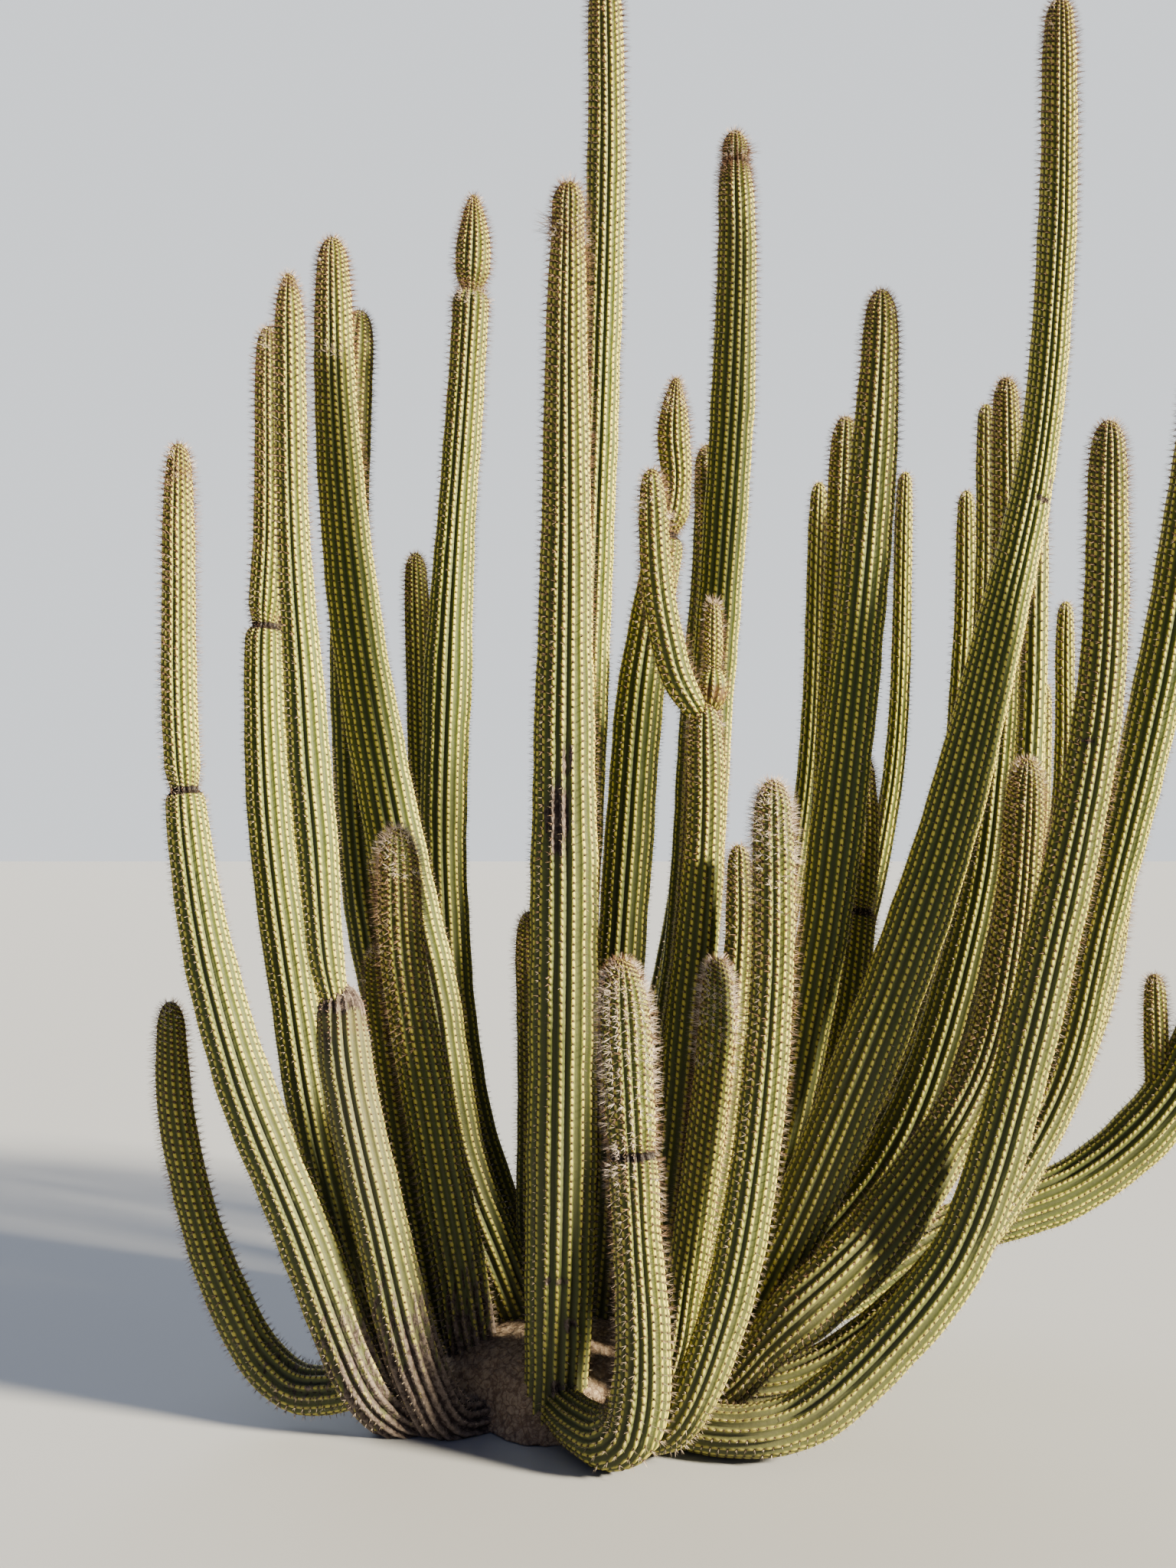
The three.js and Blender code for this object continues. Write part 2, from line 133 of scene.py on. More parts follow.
def finish_tree(tree, mesh, rise, lowest, material, out):
    """Ends a tree: raises the mesh by its relief, presses flat what would reach below the ground,
    and gives it its material."""
    outward = add_node(tree, "InputNormal")
    offset = add_node(tree, "VectorMath", {0: outward, "Scale": rise}, "SCALE")
    mesh = add_node(tree, "SetPosition", {"Geometry": mesh, "Offset": offset})
    spot = add_node(tree, "SeparateXYZ", [add_node(tree, "InputPosition")]).node.outputs
    above = add_node(tree, "Math", [spot["Z"], lowest], "MAXIMUM")
    level = add_node(tree, "CombineXYZ", {"X": spot["X"], "Y": spot["Y"], "Z": above})
    mesh = add_node(tree, "SetPosition", {"Geometry": mesh, "Position": level})
    mesh = add_node(tree, "SetShadeSmooth", {"Geometry": mesh})
    mesh = add_node(tree, "SetMaterial", {"Geometry": mesh, "Material": material})
    tree.links.new(mesh, out)


def run_tree(mesh, tree, values):
    """The plain mesh that a tree makes of a mesh."""
    carrier = add_object(mesh.name, mesh)
    modifier = carrier.modifiers.new(tree.name, "NODES")
    modifier.node_group = tree
    for item in tree.interface.items_tree:
        if item.name in values:
            modifier[item.identifier] = values[item.name]
    seen = carrier.evaluated_get(bpy.context.evaluated_depsgraph_get())
    made = bpy.data.meshes.new_from_object(seen)
    bpy.data.objects.remove(carrier)
    return made


def show(name, mesh, slot, *nodes):
    """Puts a finished mesh in the scene as a piece of the plant."""
    mesh.name = name
    piece = add_object(name, mesh)
    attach(piece, "root")
    if nodes:
        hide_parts(*nodes)


def new_material(name):
    """A material with its tree, and the shader that its colour and relief go to."""
    material = bpy.data.materials.new(name)
    material.use_nodes = True
    return material, material.node_tree, material.node_tree.nodes["Principled BSDF"]


def cork_plates(tree, place, often):
    """How far each place is from the edge of its plate of cork. The edges wander."""
    swirl = add_node(tree, "TexNoise", {"Vector": place, "Scale": 1 / (BARK_SWIRL * MM), "Detail": 4})
    swirl = add_node(tree, "VectorMath", [
        swirl.node.outputs["Color"], [BARK_SWAY * MM] * 3, place,
    ], "MULTIPLY_ADD")
    return add_node(tree, "TexVoronoi", {"Vector": swirl, "Scale": often}, feature="DISTANCE_TO_EDGE")


# Corky bark: dead cork, dull and dry, split into plates a few centimetres across.
bark, tree, shader = new_material("corky_bark")
place = add_node(tree, "TexCoord").node.outputs["Object"]
plates = cork_plates(tree, place, 1 / (BARK_PLATE * MM))
crumbs = add_node(tree, "TexNoise", {
    "Vector": place, "Scale": 1 / (BARK_CRUMB * MM), "Detail": 6, "Roughness": 0.65,
})
stains = add_node(tree, "TexNoise", {"Vector": place, "Scale": 1 / (BARK_STAIN * MM), "Detail": 3})
cracks = add_node(tree, "MapRange", {"Value": plates, "From Max": 0.12})
shade = add_node(tree, "Math", [cracks, crumbs], "MULTIPLY")
shade = add_node(tree, "Math", [shade, stains, 0.1], "MULTIPLY_ADD")
shade = add_node(tree, "Math", [shade, crumbs], "ADD")
colour = add_node(tree, "ValToRGB", {"Fac": shade}, stops=[
    (0.35, BARK_DARK), (0.7, BARK_MIDDLE), (1.0, BARK_PALE),
])
relief = add_node(tree, "Bump", {"Height": shade, "Strength": 0.8, "Distance": BARK_RELIEF * MM})
tree.links.new(colour, shader.inputs["Base Color"])
tree.links.new(relief, shader.inputs["Normal"])
shader.inputs["Roughness"].default_value = 0.92
shader.inputs["Specular IOR Level"].default_value = 0.25


def running_total(steps):
    """The sum of the steps up to each one, from nothing."""
    return np.concatenate([[0], np.cumsum(steps)])


def crown_dome(rings, sides):
    """The crown's dome with its lobes and swellings, as rows of points from the ground to the top."""
    shares = np.array(CROWN_PROFILE)
    run = running_total(np.hypot(*np.diff(shares, axis=0).T))
    at = np.linspace(0, run[-1], rings)
    reach, height = np.interp(at, run, shares[:, 0]), np.interp(at, run, shares[:, 1])
    turn = np.linspace(0, 2 * np.pi, sides, endpoint=False)
    reach, height, turn = reach[:, None], height[:, None], turn[None, :]
    lobe = 1 + LOBE_DEPTH * np.cos(ROOT_LOBES * turn) * (1.2 - height)
    lump = 1 + LUMP_HEIGHT * np.cos(3 * turn + 1) * reach
    x = CROWN_CENTRE[0] + reach * lobe * CROWN_HALF_WIDTH * np.cos(turn)
    y = CROWN_CENTRE[1] + reach * lobe * CROWN_HALF_DEPTH * np.sin(turn)
    z = height * lump * CROWN_HEIGHT
    return np.stack([x, y, z + 0 * turn], axis=-1) * MM


rings, sides = 72, 168
dome = crown_dome(rings, sides)
faces = []
for row in range(rings - 1):
    for side in range(sides):
        ahead = (side + 1) % sides
        lower, upper = row * sides, (row + 1) * sides
        faces.append((lower + side, lower + ahead, upper + ahead, upper + side))
crown_mesh = bpy.data.meshes.new("root_wood")
crown_mesh.from_pydata(dome.reshape(-1, 3).tolist(), [], faces)

tree, given, out = new_tree("bark_relief", {
    "Depth": "Float", "Plate size": "Float", "Material": "Material",
})
closed = add_node(tree, "MergeByDistance", {"Geometry": given["Mesh"], "Distance": WELD * MM})
often = add_node(tree, "Math", [1, given["Plate size"]], "DIVIDE")
plates = cork_plates(tree, add_node(tree, "InputPosition"), often)
lumps = add_node(tree, "TexNoise", {"Scale": LUMPS_PER_METRE, "Detail": 4})
rise = add_node(tree, "MapRange", {"Value": plates, "From Max": 0.25, "To Min": -1, "To Max": 0.2})
rise = add_node(tree, "Math", [lumps, 2.5, rise], "MULTIPLY_ADD")
rise = add_node(tree, "Math", [rise, given["Depth"]], "MULTIPLY")
rise = add_node(tree, "Math", [rise, -6 * MM], "ADD")
finish_tree(tree, closed, rise, 0, given["Material"], out)

crown_mesh = run_tree(crown_mesh, tree, {"Depth": 5 * MM, "Plate size": 32 * MM, "Material": bark})
show("root_wood", crown_mesh, "bark", "root_crown")


# Arms at the front of the crown
# Each arm is one living stem: waxy grey-green skin over soft flesh, pleated into rounded ribs with
# a row of areoles along every crest. It is rooted in the crown and ends in a blunt domed tip.
AREOLE_PITCH = 19  # between the areoles along a rib, in millimetres
WIDE_PITCH = 30  # the same on the slender arms behind
RIB_SPACING = 31  # from crest to crest on the thickest arm
RIBS_PER_WIDTH = 0.055  # added to a plain eight, for each millimetre of an arm's greatest width
ROW_TWIST = 0.39  # how far the areoles of each rib are ahead of the last one's, as a share of the pitch
RING_PITCH = 27  # between the rings of the skin, which draw together at tips, waists and scars
TIP_PITCH = 1.2
WAIST_PITCH = 4
SCAR_PITCH = 9
TIP_SPREAD = 0.28  # how fast the rings spread again away from a tip
RING_SPREAD = 0.3  # and away from a waist or scar
CROWDED = 0.58  # how near the areoles stand at a tip, as a share of the pitch
WAIST_REACH = 60  # how far from a waist they draw together, to half the pitch
WAIST_FELT = 10  # how far the dark felt of a waist reaches
RIB_DEPTH = 0.205  # from crest to furrow, as a share of the arm's half width
SHOULDER = 38  # at a waist, the length over which the old tip rounds off
NECK = 75  # and the length over which the new growth widens
BARE_FOOT = 32  # no spines are left this close to the ground
BURIED = 0.8  # nor inside this share of the crown
TAPER = 170  # the length over which a tip narrows
FURRY_TOP = 200  # from the tip down to here the spines are at their thickest
BROWN_TOP = 120  # down to here none of them has greyed
SOFT_TIP = 100  # the last stretch of a tip, where they are still short
PALE_CAP = 30
CORK_TOP = 900  # above this height no cork has crept up from the ground
OLD_BELOW = 1500  # the skin greys from this height down
OLD_AFTER = 3000  # and over this length from the tip
SEASONS = ((0.012, 17), (0.01, 41))  # shares by which the width comes and goes, and how often
SWELLINGS_PER_METRE = 15
UNEVENNESS = 5  # from the skin's deepest hollow to its highest swelling
STEPS = 60  # points worked out between two places of a path
PER_RIB = 4  # points across a rib
BLOTCH = 33.33  # sizes of the skin's pattern, and of the streaks and flecks of its cork
PATCH = 322.6
GRAIN = 3.846
STREAK = (13.33, 50)  # across and along the arm
FLECK = 14.29
FELT_REACH = (3.229, 3.065)  # across and along the rib
SKIN_RELIEF = 1
# The crest's pale yellow is partly paler skin and partly a painted highlight; the furrow's darker colour is
# painted shade.
FURROW_WITH_PAINTED_SHADE = 0x3B4323
FLANK = 0x49541B
CREST_WITH_PAINTED_HIGHLIGHT = 0xC6BA4E
YOUNG_GREEN = 0x46602E
OLD_GREY = 0x514E3A
YOUNG_TAN = 0x7A652E
CORK_DARK = 0x2A2120
CORK_PALE = 0x6E6259
FELT = 0x38281B
# The waist ring's brown-black is partly dark felt and partly painted shade in the groove.
RING_FELT_AND_PAINTED_SHADE = 0x150D0B
RUST = 0x471E10


def centre_line(knots):
    """A smooth line through the knots, its running length, and the running length at each knot."""
    ends = np.vstack([2 * knots[0] - knots[1], knots, 2 * knots[-1] - knots[-2]])
    share = np.linspace(0, 1, STEPS, endpoint=False)[:, None]
    spans = []
    for a, b, c, d in zip(ends, ends[1:], ends[2:], ends[3:]):
        before, here, after = (np.linalg.norm(q - p) ** 0.5 for p, q in ((a, b), (b, c), (c, d)))
        leave = ((b - a) / before - (c - a) / (before + here) + (c - b) / here) * here
        reach = ((c - b) / here - (d - b) / (here + after) + (d - c) / after) * here
        bend = 3 * (c - b) - 2 * leave - reach + share * (2 * (b - c) + leave + reach)
        spans.append(b + share * (leave + share * bend))
    line = np.vstack(spans + [knots[-1:]])
    run = running_total(np.linalg.norm(np.diff(line, axis=0), axis=1))
    return line, run, run[::STEPS]


def lay_rings(path, waists, scars, ribs, pitch, looks):
    """Where the rings of an arm's skin go, and how old, furred, pale and corky it is at each."""
    table = np.array(path) * MM
    line, run, knot_run = centre_line(table[:, :3])
    back = run[-1] - run
    tip_width = table[-1, 3]
    width = np.interp(run, knot_run, table[:, 3])

    # Rings and areoles draw together towards the tip, at each waist, and the rings at each scar.
    spacing = np.minimum(RING_PITCH, TIP_PITCH + TIP_SPREAD * back / MM)
    crowding = CROWDED + (1 - CROWDED) * np.clip(back / (3 * tip_width), 0, 1)
    band = np.zeros_like(run)
    for height, narrow in waists:
        above = (run - run[np.argmax(line[:, 2] >= height * MM)]) / MM
        rounding = np.sqrt(1 - (1 - np.clip(-above / SHOULDER, 0, 1)) ** 2)
        widening = np.clip(above / NECK, 0, 1)
        share = np.where(above < 0, rounding, widening ** 2 * (3 - 2 * widening))
        width += (1 - share) * (np.minimum(width, narrow * MM) - width)
        band = np.maximum(band, np.exp(-((above / WAIST_FELT) ** 2)))
        spacing = np.minimum(spacing, WAIST_PITCH + RING_SPREAD * np.abs(above))
        crowding *= 1 - 0.5 * np.exp(-((above / WAIST_REACH) ** 2))
    for height, _, _, tall in scars:
        above = (run - run[np.argmax(line[:, 2] >= height * MM)]) / MM
        spacing = np.minimum(spacing, SCAR_PITCH + RING_SPREAD * np.maximum(np.abs(above) - tall, 0))
    steps = running_total(np.diff(run) / (spacing[1:] * MM))
    at = np.interp(np.linspace(0, steps[-1], int(steps[-1]) + 2), steps, run)
    rows = running_total(np.diff(run) / (pitch * MM * crowding[1:]))

    # From season to season the width changes a little. The tip tapers, and ends in a dome.
    back = run[-1] - at
    season = 1
    for k, (share, often) in enumerate(SEASONS, 1):
        season = season + share * np.sin(at * often + k * looks["phase"])
    dome = np.sqrt(1 - (1 - np.clip(back / (tip_width * looks["pointed"]), 0, 1)) ** 2)
    taper = np.clip(1 - back / (TAPER * MM), 0, 1)
    taper = 1 - looks["slim"] * taper ** 2 * (3 - 2 * taper)
    places = np.stack([np.interp(at, run, line[:, k]) for k in range(3)], axis=1)
    along = np.stack([np.interp(at, run, np.gradient(line[:, k], run)) for k in range(3)], axis=1)
    along /= np.linalg.norm(along, axis=1)[:, None]
    level = np.array([line[0, 1] - line[-1, 1], line[-1, 0] - line[0, 0], 0])
    level /= np.linalg.norm(level)
    across = level - along * (along @ level)[:, None]
    across /= np.linalg.norm(across, axis=1)[:, None]

    half_width = np.interp(at, run, width) / 2 * season * dome * taper

    # The spines are thickest and palest near the tip, and none grow inside the crown.
    height = places[:, 2]
    band = np.interp(at, run, band)
    centre = np.array([CROWN_CENTRE[0], CROWN_CENTRE[1], 0]) * MM
    radii = np.array([CROWN_HALF_WIDTH, CROWN_HALF_DEPTH, CROWN_HEIGHT]) * MM
    buried = np.linalg.norm((places - centre) / radii, axis=1) < BURIED
    near_tip = np.clip(1 - (back - FURRY_TOP * MM) / looks["furry"], 0, 1)
    fur = looks["bare"] + (looks["fur"] - looks["bare"]) * near_tip
    fur *= 1 - 0.4 * np.clip(1 - back / (SOFT_TIP * MM), 0, 1)
    pale = looks["pale"] * np.clip(1.5 - back / looks["whitened"], 0, 1)
    pale += (looks["capped"] - pale) * np.clip(1.6 - back / (PALE_CAP * MM), 0, 1)
    near_tip = np.clip(1 - (back - BROWN_TOP * MM) / looks["young"], 0, 1)
    young = np.maximum(near_tip, 0.7 * band)
    rust = np.zeros_like(height)
    for middle, reach, whiteness in looks["woolly"]:
        wool = np.exp(-(((height / MM - middle) / reach) ** 2))
        fur = np.maximum(fur, (0.5 + 0.7 * whiteness) * wool)
        pale = np.maximum(pale, whiteness * wool)
        young = np.maximum(young, wool)
        rust = np.maximum(rust, 0.8 * (1 - whiteness) * wool)
    fur *= 1 - 0.85 * band * looks["ringed"]
    fur[buried] = 0
    age = 0.55 * (1 - height / (OLD_BELOW * MM)) + 0.45 * np.clip(back / (OLD_AFTER * MM), 0, 1)
    return places, {
        "along": along, "across": across, "row": np.interp(at, run, rows), "fur": fur, "pale": pale,
        "band": band * looks["ringed"], "young": young, "rust": rust, "half_width": half_width,
        "rib_size": np.clip(math.tau * half_width / ribs / (RIB_SPACING * MM), 0.3, 1.3),
        "row_size": np.interp(at, run, pitch / AREOLE_PITCH * crowding),
        "age": np.clip(age + looks["greyed"], 0, 1),
        "cork": looks["cork"] * np.clip(1 - height / (CORK_TOP * MM), 0, 1),
    }


# The tree that turns an arm's rings into its pleated skin.
tree, given, out = new_tree("ribbed_skin", {
    "Ribs": "Int", "Rib depth": "Float", "Row twist": "Float", "Unevenness": "Float",
    "Material": "Material",
})
line = add_node(tree, "MeshToCurve", {"Mesh": given["Mesh"]})
across = add_node(tree, "InputNamedAttribute", {"Name": "across"}, data_type="FLOAT_VECTOR")
line = add_node(tree, "SetCurveNormal", {"Curve": line, "Normal": across}, mode="FREE")

points = add_node(tree, "Math", [given["Ribs"], PER_RIB, 1], "MULTIPLY_ADD")
strand = add_node(tree, "CurvePrimitiveLine")
strand = add_node(tree, "ResampleCurve", {"Curve": strand, "Count": points})
number = add_node(tree, "InputIndex")
rib = add_node(tree, "Math", [number, PER_RIB], "DIVIDE")
strand = add_node(tree, "StoreNamedAttribute", {"Geometry": strand, "Name": "rib", "Value": rib})
turn = add_node(tree, "Math", [rib, given["Ribs"]], "DIVIDE")
turn = add_node(tree, "Math", [turn, math.tau], "MULTIPLY")
wave = add_node(tree, "Math", [rib, math.pi], "MULTIPLY")
wave = add_node(tree, "Math", [wave], "COSINE")
crest = add_node(tree, "Math", [wave], "ABSOLUTE")
hollow = add_node(tree, "Math", [1, crest], "SUBTRACT")
hollow = add_node(tree, "Math", [hollow, given["Rib depth"]], "MULTIPLY")
reach = add_node(tree, "Math", [1.01, hollow], "SUBTRACT")
x = add_node(tree, "Math", [turn], "COSINE")
y = add_node(tree, "Math", [turn], "SINE")
star = add_node(tree, "CombineXYZ", {"X": x, "Y": y})
star = add_node(tree, "VectorMath", {0: star, "Scale": reach}, "SCALE")
strand = add_node(tree, "SetPosition", {"Geometry": strand, "Position": star})

half = add_node(tree, "InputNamedAttribute", {"Name": "half_width"})
skin = add_node(tree, "CurveToMesh", {"Curve": line, "Profile Curve": strand, "Scale": half})
rib = add_node(tree, "InputNamedAttribute", {"Name": "rib"})
row = add_node(tree, "InputNamedAttribute", {"Name": "row"})
row = add_node(tree, "Math", [rib, given["Row twist"], row], "MULTIPLY_ADD")
chart = add_node(tree, "CombineXYZ", {"X": rib, "Y": row})
skin = add_node(tree, "StoreNamedAttribute", {
    "Geometry": skin, "Name": "UVMap", "Value": chart,
}, data_type="FLOAT2", domain="CORNER")
rib = add_node(tree, "Math", [rib, given["Ribs"]], "MODULO")
skin = add_node(tree, "StoreNamedAttribute", {"Geometry": skin, "Name": "rib", "Value": rib})
skin = add_node(tree, "MergeByDistance", {"Geometry": skin, "Distance": WELD * MM})

uneven = add_node(tree, "TexNoise", {"Scale": SWELLINGS_PER_METRE, "Detail": 3, "Roughness": 0.6})
uneven = add_node(tree, "Math", [uneven, -0.5], "ADD")
uneven = add_node(tree, "Math", [uneven, given["Unevenness"]], "MULTIPLY")
finish_tree(tree, skin, uneven, 1 * MM, given["Material"], out)
skin_tree = tree

# Waxy stem skin: a matt bloom over yellow-green flesh, with painted shade in the furrows. Each crest is a
# pale line, partly paler skin and partly a painted highlight, broken by the dark felt of its areoles. The
# chart counts ribs one way and areoles the other.
stem_skin, tree, shader = new_material("waxy_stem_skin")
chart = add_node(tree, "UVMap", uv_map="UVMap")
chart = add_node(tree, "SeparateXYZ", [chart]).node.outputs
place = add_node(tree, "TexCoord").node.outputs["Object"]
read = {
    key: add_node(tree, "Attribute", attribute_name=key).node.outputs["Fac"]
    for key in ("rib_size", "row_size", "age", "pale", "young", "rust", "cork", "band", "scar")
}
nearest = add_node(tree, "Math", [chart["X"]], "ROUND")
aside = add_node(tree, "Math", [chart["X"], nearest], "SUBTRACT")
nearest = add_node(tree, "Math", [chart["Y"]], "ROUND")
ahead = add_node(tree, "Math", [chart["Y"], nearest], "SUBTRACT")
blotch = add_node(tree, "TexNoise", {
    "Vector": place, "Scale": 1 / (BLOTCH * MM), "Detail": 5, "Roughness": 0.65,
})
patches = add_node(tree, "TexNoise", {"Vector": place, "Scale": 1 / (PATCH * MM)})
grain = add_node(tree, "TexNoise", {"Vector": place, "Scale": 1 / (GRAIN * MM), "Detail": 3})

# From the crest to the furrow the skin goes from yellow over green to near black: the pale crest is partly
# paler skin and partly a painted highlight, and the dark furrow is painted shade. The wider the rib, the
# more of it is flank and furrow, and between two areoles, where the crest swells, the pale line with its
# painted highlight is widest.
off_crest = add_node(tree, "Math", [aside], "ABSOLUTE")
beat = add_node(tree, "Math", [chart["Y"], math.tau], "MULTIPLY")
beat = add_node(tree, "Math", [beat], "COSINE")
widened = add_node(tree, "Math", [read["rib_size"], 1.15, 0.15], "MULTIPLY_ADD")
rib_tone_and_painted_light = add_node(tree, "Math", [off_crest, widened], "MULTIPLY")
rib_tone_and_painted_light = add_node(tree, "Math", [blotch, 0.3, rib_tone_and_painted_light], "MULTIPLY_ADD")
rib_tone_and_painted_light = add_node(tree, "Math", [beat, 0.045, rib_tone_and_painted_light], "MULTIPLY_ADD")
# Painted highlight on the crests and painted shade in the furrows, over the skin's own tone.
colour = add_node(tree, "ValToRGB", {"Fac": rib_tone_and_painted_light}, stops=[(0.21, CREST_WITH_PAINTED_HIGHLIGHT), (0.36, FLANK), (0.61, FURROW_WITH_PAINTED_SHADE)])
greyed = add_node(tree, "Math", [read["age"], patches], "MULTIPLY")
greened = add_node(tree, "Math", [read["pale"], 0.35], "MULTIPLY")
tanned = add_node(tree, "Math", [read["young"], 0.1], "MULTIPLY")

# The felt of an areole is about 7 mm across, or 10 mm on young growth, on every arm, wherever its
# chart is drawn in.
aside = add_node(tree, "Math", [aside, read["rib_size"]], "MULTIPLY")
ahead = add_node(tree, "Math", [ahead, read["row_size"]], "MULTIPLY")
away = add_node(tree, "CombineXYZ", {"X": aside, "Y": ahead})
away = add_node(tree, "VectorMath", [
    away, (RIB_SPACING / FELT_REACH[0], AREOLE_PITCH / FELT_REACH[1], 0),
], "MULTIPLY")
away = add_node(tree, "VectorMath", [away], "LENGTH")
away = add_node(tree, "Math", [blotch, 0.8, away], "MULTIPLY_ADD")
away = add_node(tree, "Math", [read["young"], -0.45, away], "MULTIPLY_ADD")
felt = add_node(tree, "MapRange", {"Value": away, "From Min": 1.65, "From Max": 1.15})

# Dark cork, in streaks along the ribs: creeping up from the ground and over old wounds. Where
# growth stopped for a season, a ring of brown-black is left in the waist, partly its dark felt and partly
# painted shade in the groove.
wide, tall = (1 / (size * MM) for size in STREAK)
streak = add_node(tree, "Mapping", {"Vector": place, "Scale": (wide, wide, tall)})
streak = add_node(tree, "TexNoise", {"Vector": streak, "Scale": 1, "Detail": 4, "Roughness": 0.65})
spread = add_node(tree, "Math", [read["cork"], read["scar"]], "MAXIMUM")
spread = add_node(tree, "Math", [spread, streak], "ADD")
corky = add_node(tree, "MapRange", {"Value": spread, "From Min": 0.96, "From Max": 1.08})
flecks = add_node(tree, "TexNoise", {
    "Vector": place, "Scale": 1 / (FLECK * MM), "Detail": 4, "Roughness": 0.7,
})
# The cork is paler on the crests and darker in the furrows.
cork_crest_to_furrow = add_node(tree, "Math", [off_crest, -0.6, flecks], "MULTIPLY_ADD")
cork_crest_to_furrow = add_node(tree, "ValToRGB", {"Fac": cork_crest_to_furrow}, stops=[(0.22, CORK_DARK), (0.55, CORK_PALE)])
# The waist ring: partly dark felt, partly painted shade in the groove of the waist.
ring = add_node(tree, "Math", [streak, 0.6, read["band"]], "MULTIPLY_ADD")
ring = add_node(tree, "MapRange", {"Value": ring, "From Min": 0.55, "From Max": 0.8})

# The coats lie one over the other, each as far as its share goes.
coats = [
    (greyed, linear(OLD_GREY)), (greened, linear(YOUNG_GREEN)), (tanned, linear(YOUNG_TAN)),
    (read["rust"], linear(RUST)), (felt, linear(FELT)), (corky, cork_crest_to_furrow), (ring, linear(RING_FELT_AND_PAINTED_SHADE)),
]
for share, coat in coats:
    colour = add_node(tree, "Mix", {0: share, 6: colour, 7: coat}, data_type="RGBA")
tree.links.new(colour, shader.inputs["Base Color"])

# Relief in millimetres: the crests swell between their areoles, and the cork is rough.
on_crest = add_node(tree, "MapRange", {
    "Value": off_crest, "From Min": 0.2, "From Max": 0.05, "To Max": -0.7,
})
relief = add_node(tree, "Math", [beat, on_crest], "MULTIPLY")
relief = add_node(tree, "Math", [blotch, 1.6, relief], "MULTIPLY_ADD")
relief = add_node(tree, "Math", [grain, 0.3, relief], "MULTIPLY_ADD")
rough = add_node(tree, "Math", [corky, flecks], "MULTIPLY")
relief = add_node(tree, "Math", [rough, 3, relief], "MULTIPLY_ADD")
relief = add_node(tree, "Bump", {"Height": relief, "Strength": 1, "Distance": SKIN_RELIEF * MM})
tree.links.new(relief, shader.inputs["Normal"])
dull = add_node(tree, "MapRange", {"Value": corky, "To Min": 0.58, "To Max": 0.9})
tree.links.new(dull, shader.inputs["Roughness"])
shader.inputs["Specular IOR Level"].default_value = 0.2


def tell(mesh, key, values):
    """Notes a number or a direction on each point of a mesh, for the trees and materials to read."""
    kind, field = ("FLOAT_VECTOR", "vector") if values.ndim == 2 else ("FLOAT", "value")
    mesh.attributes.new(key, kind, "POINT").data.foreach_set(field, values.ravel())


def read_points(mesh):
    """The places and outward directions of a mesh's points."""
    read = []
    for points, key in ((mesh.vertices, "co"), (mesh.vertex_normals, "vector")):
        values = np.empty(len(points) * 3)
        points.foreach_get(key, values)
        read.append(values.reshape(-1, 3))
    return read


SCAR_EDGE = 1.3  # where a scar ends, as a share of its half width and half height
SCAR_DEPTH = 2
SCAR_PITS = 5  # the most that its pits go deeper
SCAR_CORK = 0.75


def scar_skin(mesh, marks, chance):
    """Dents the skin at each scar, and notes on every point how near to one it is."""
    places, outward = read_points(mesh)
    near = np.zeros(len(places))
    for place, wide, tall in marks:
        gap = (places - place) / (np.array([wide, wide, tall]) * MM)
        near = np.maximum(near, SCAR_EDGE - np.linalg.norm(gap, axis=1))
    near = np.clip(near, 0, 1)
    dent = near * (SCAR_DEPTH + SCAR_PITS * chance.random(len(places))) * MM
    mesh.vertices.foreach_set("co", (places - outward * dent[:, None]).ravel())
    tell(mesh, "scar", SCAR_CORK * near)


def find_areoles(mesh, ribs, twist, tufts, chance):
    """The areoles along the crests: their places, directions, vigour, and the kind of their spines."""
    places, outward = read_points(mesh)
    read = {}
    for key in ("rib", "row", "fur", "pale", "young"):
        read[key] = np.empty(len(places))
        mesh.attributes[key].data.foreach_get("value", read[key])
    number = np.round(read["rib"]).astype(int)
    on_crest = np.abs(read["rib"] - number) < 0.01
    found = []
    for rib in range(ribs):
        pick = np.flatnonzero(on_crest & (number % ribs == rib))
        pick = pick[np.argsort(read["row"][pick])]
        rows = read["row"][pick] + rib * twist
        along = np.gradient(places[pick], axis=0)
        at = np.arange(math.ceil(rows[0]), math.floor(rows[-1]) + 1)
        told = [read[key][pick, None] for key in ("fur", "pale", "young")]
        table = np.hstack([places[pick], outward[pick], along, *told])
        found.append(np.stack([np.interp(at, rows, column) for column in table.T], axis=1))
    place, outward, along, told = np.split(np.vstack(found), 4, axis=1)
    kept = (told[:, 0] > 0.01) & (place[:, 2] > BARE_FOOT * MM)
    place, outward, along, told = place[kept], outward[kept], along[kept], told[kept]
    fur, pale, young = told.T
    draws = chance.random((len(place), 2)).T
    kind = np.where(draws[0] < pale, "pale", np.where(draws[1] < young, "brown", "grey"))
    for middle, reach, vigour, sort in tufts:
        near = np.linalg.norm(place - middle, axis=1) < reach * MM
        fur[near] = vigour
        kind[near] = sort
    return {"place": place, "outward": outward, "along": along, "fur": fur, "kind": kind}


PLAIN_LOOKS = {
    "fur": 1.0,  # vigour of the spines near the tip
    "bare": 0.3,  # and well below it
    "furry": 1.3,  # metres over which they thin out
    "young": 0.9,  # metres over which they turn from brown to grey
    "pale": 0.25,  # share of pale spines near the tip
    "whitened": 0.08,  # metres that these reach down
    "capped": 0.6,  # share of pale spines on the tip itself
    "cork": 0.35,  # cork at the foot
    "greyed": 0.0,  # age beyond that of the other arms
    "pointed": 0.82,  # height of the dome, as a share of the width
    "slim": 0.17,  # how much the tip tapers
    "ringed": 1.0,  # dark felt and painted shade in the waists
    "woolly": (),  # collars of wool, each with its height, reach and whiteness
}
areoles = {}


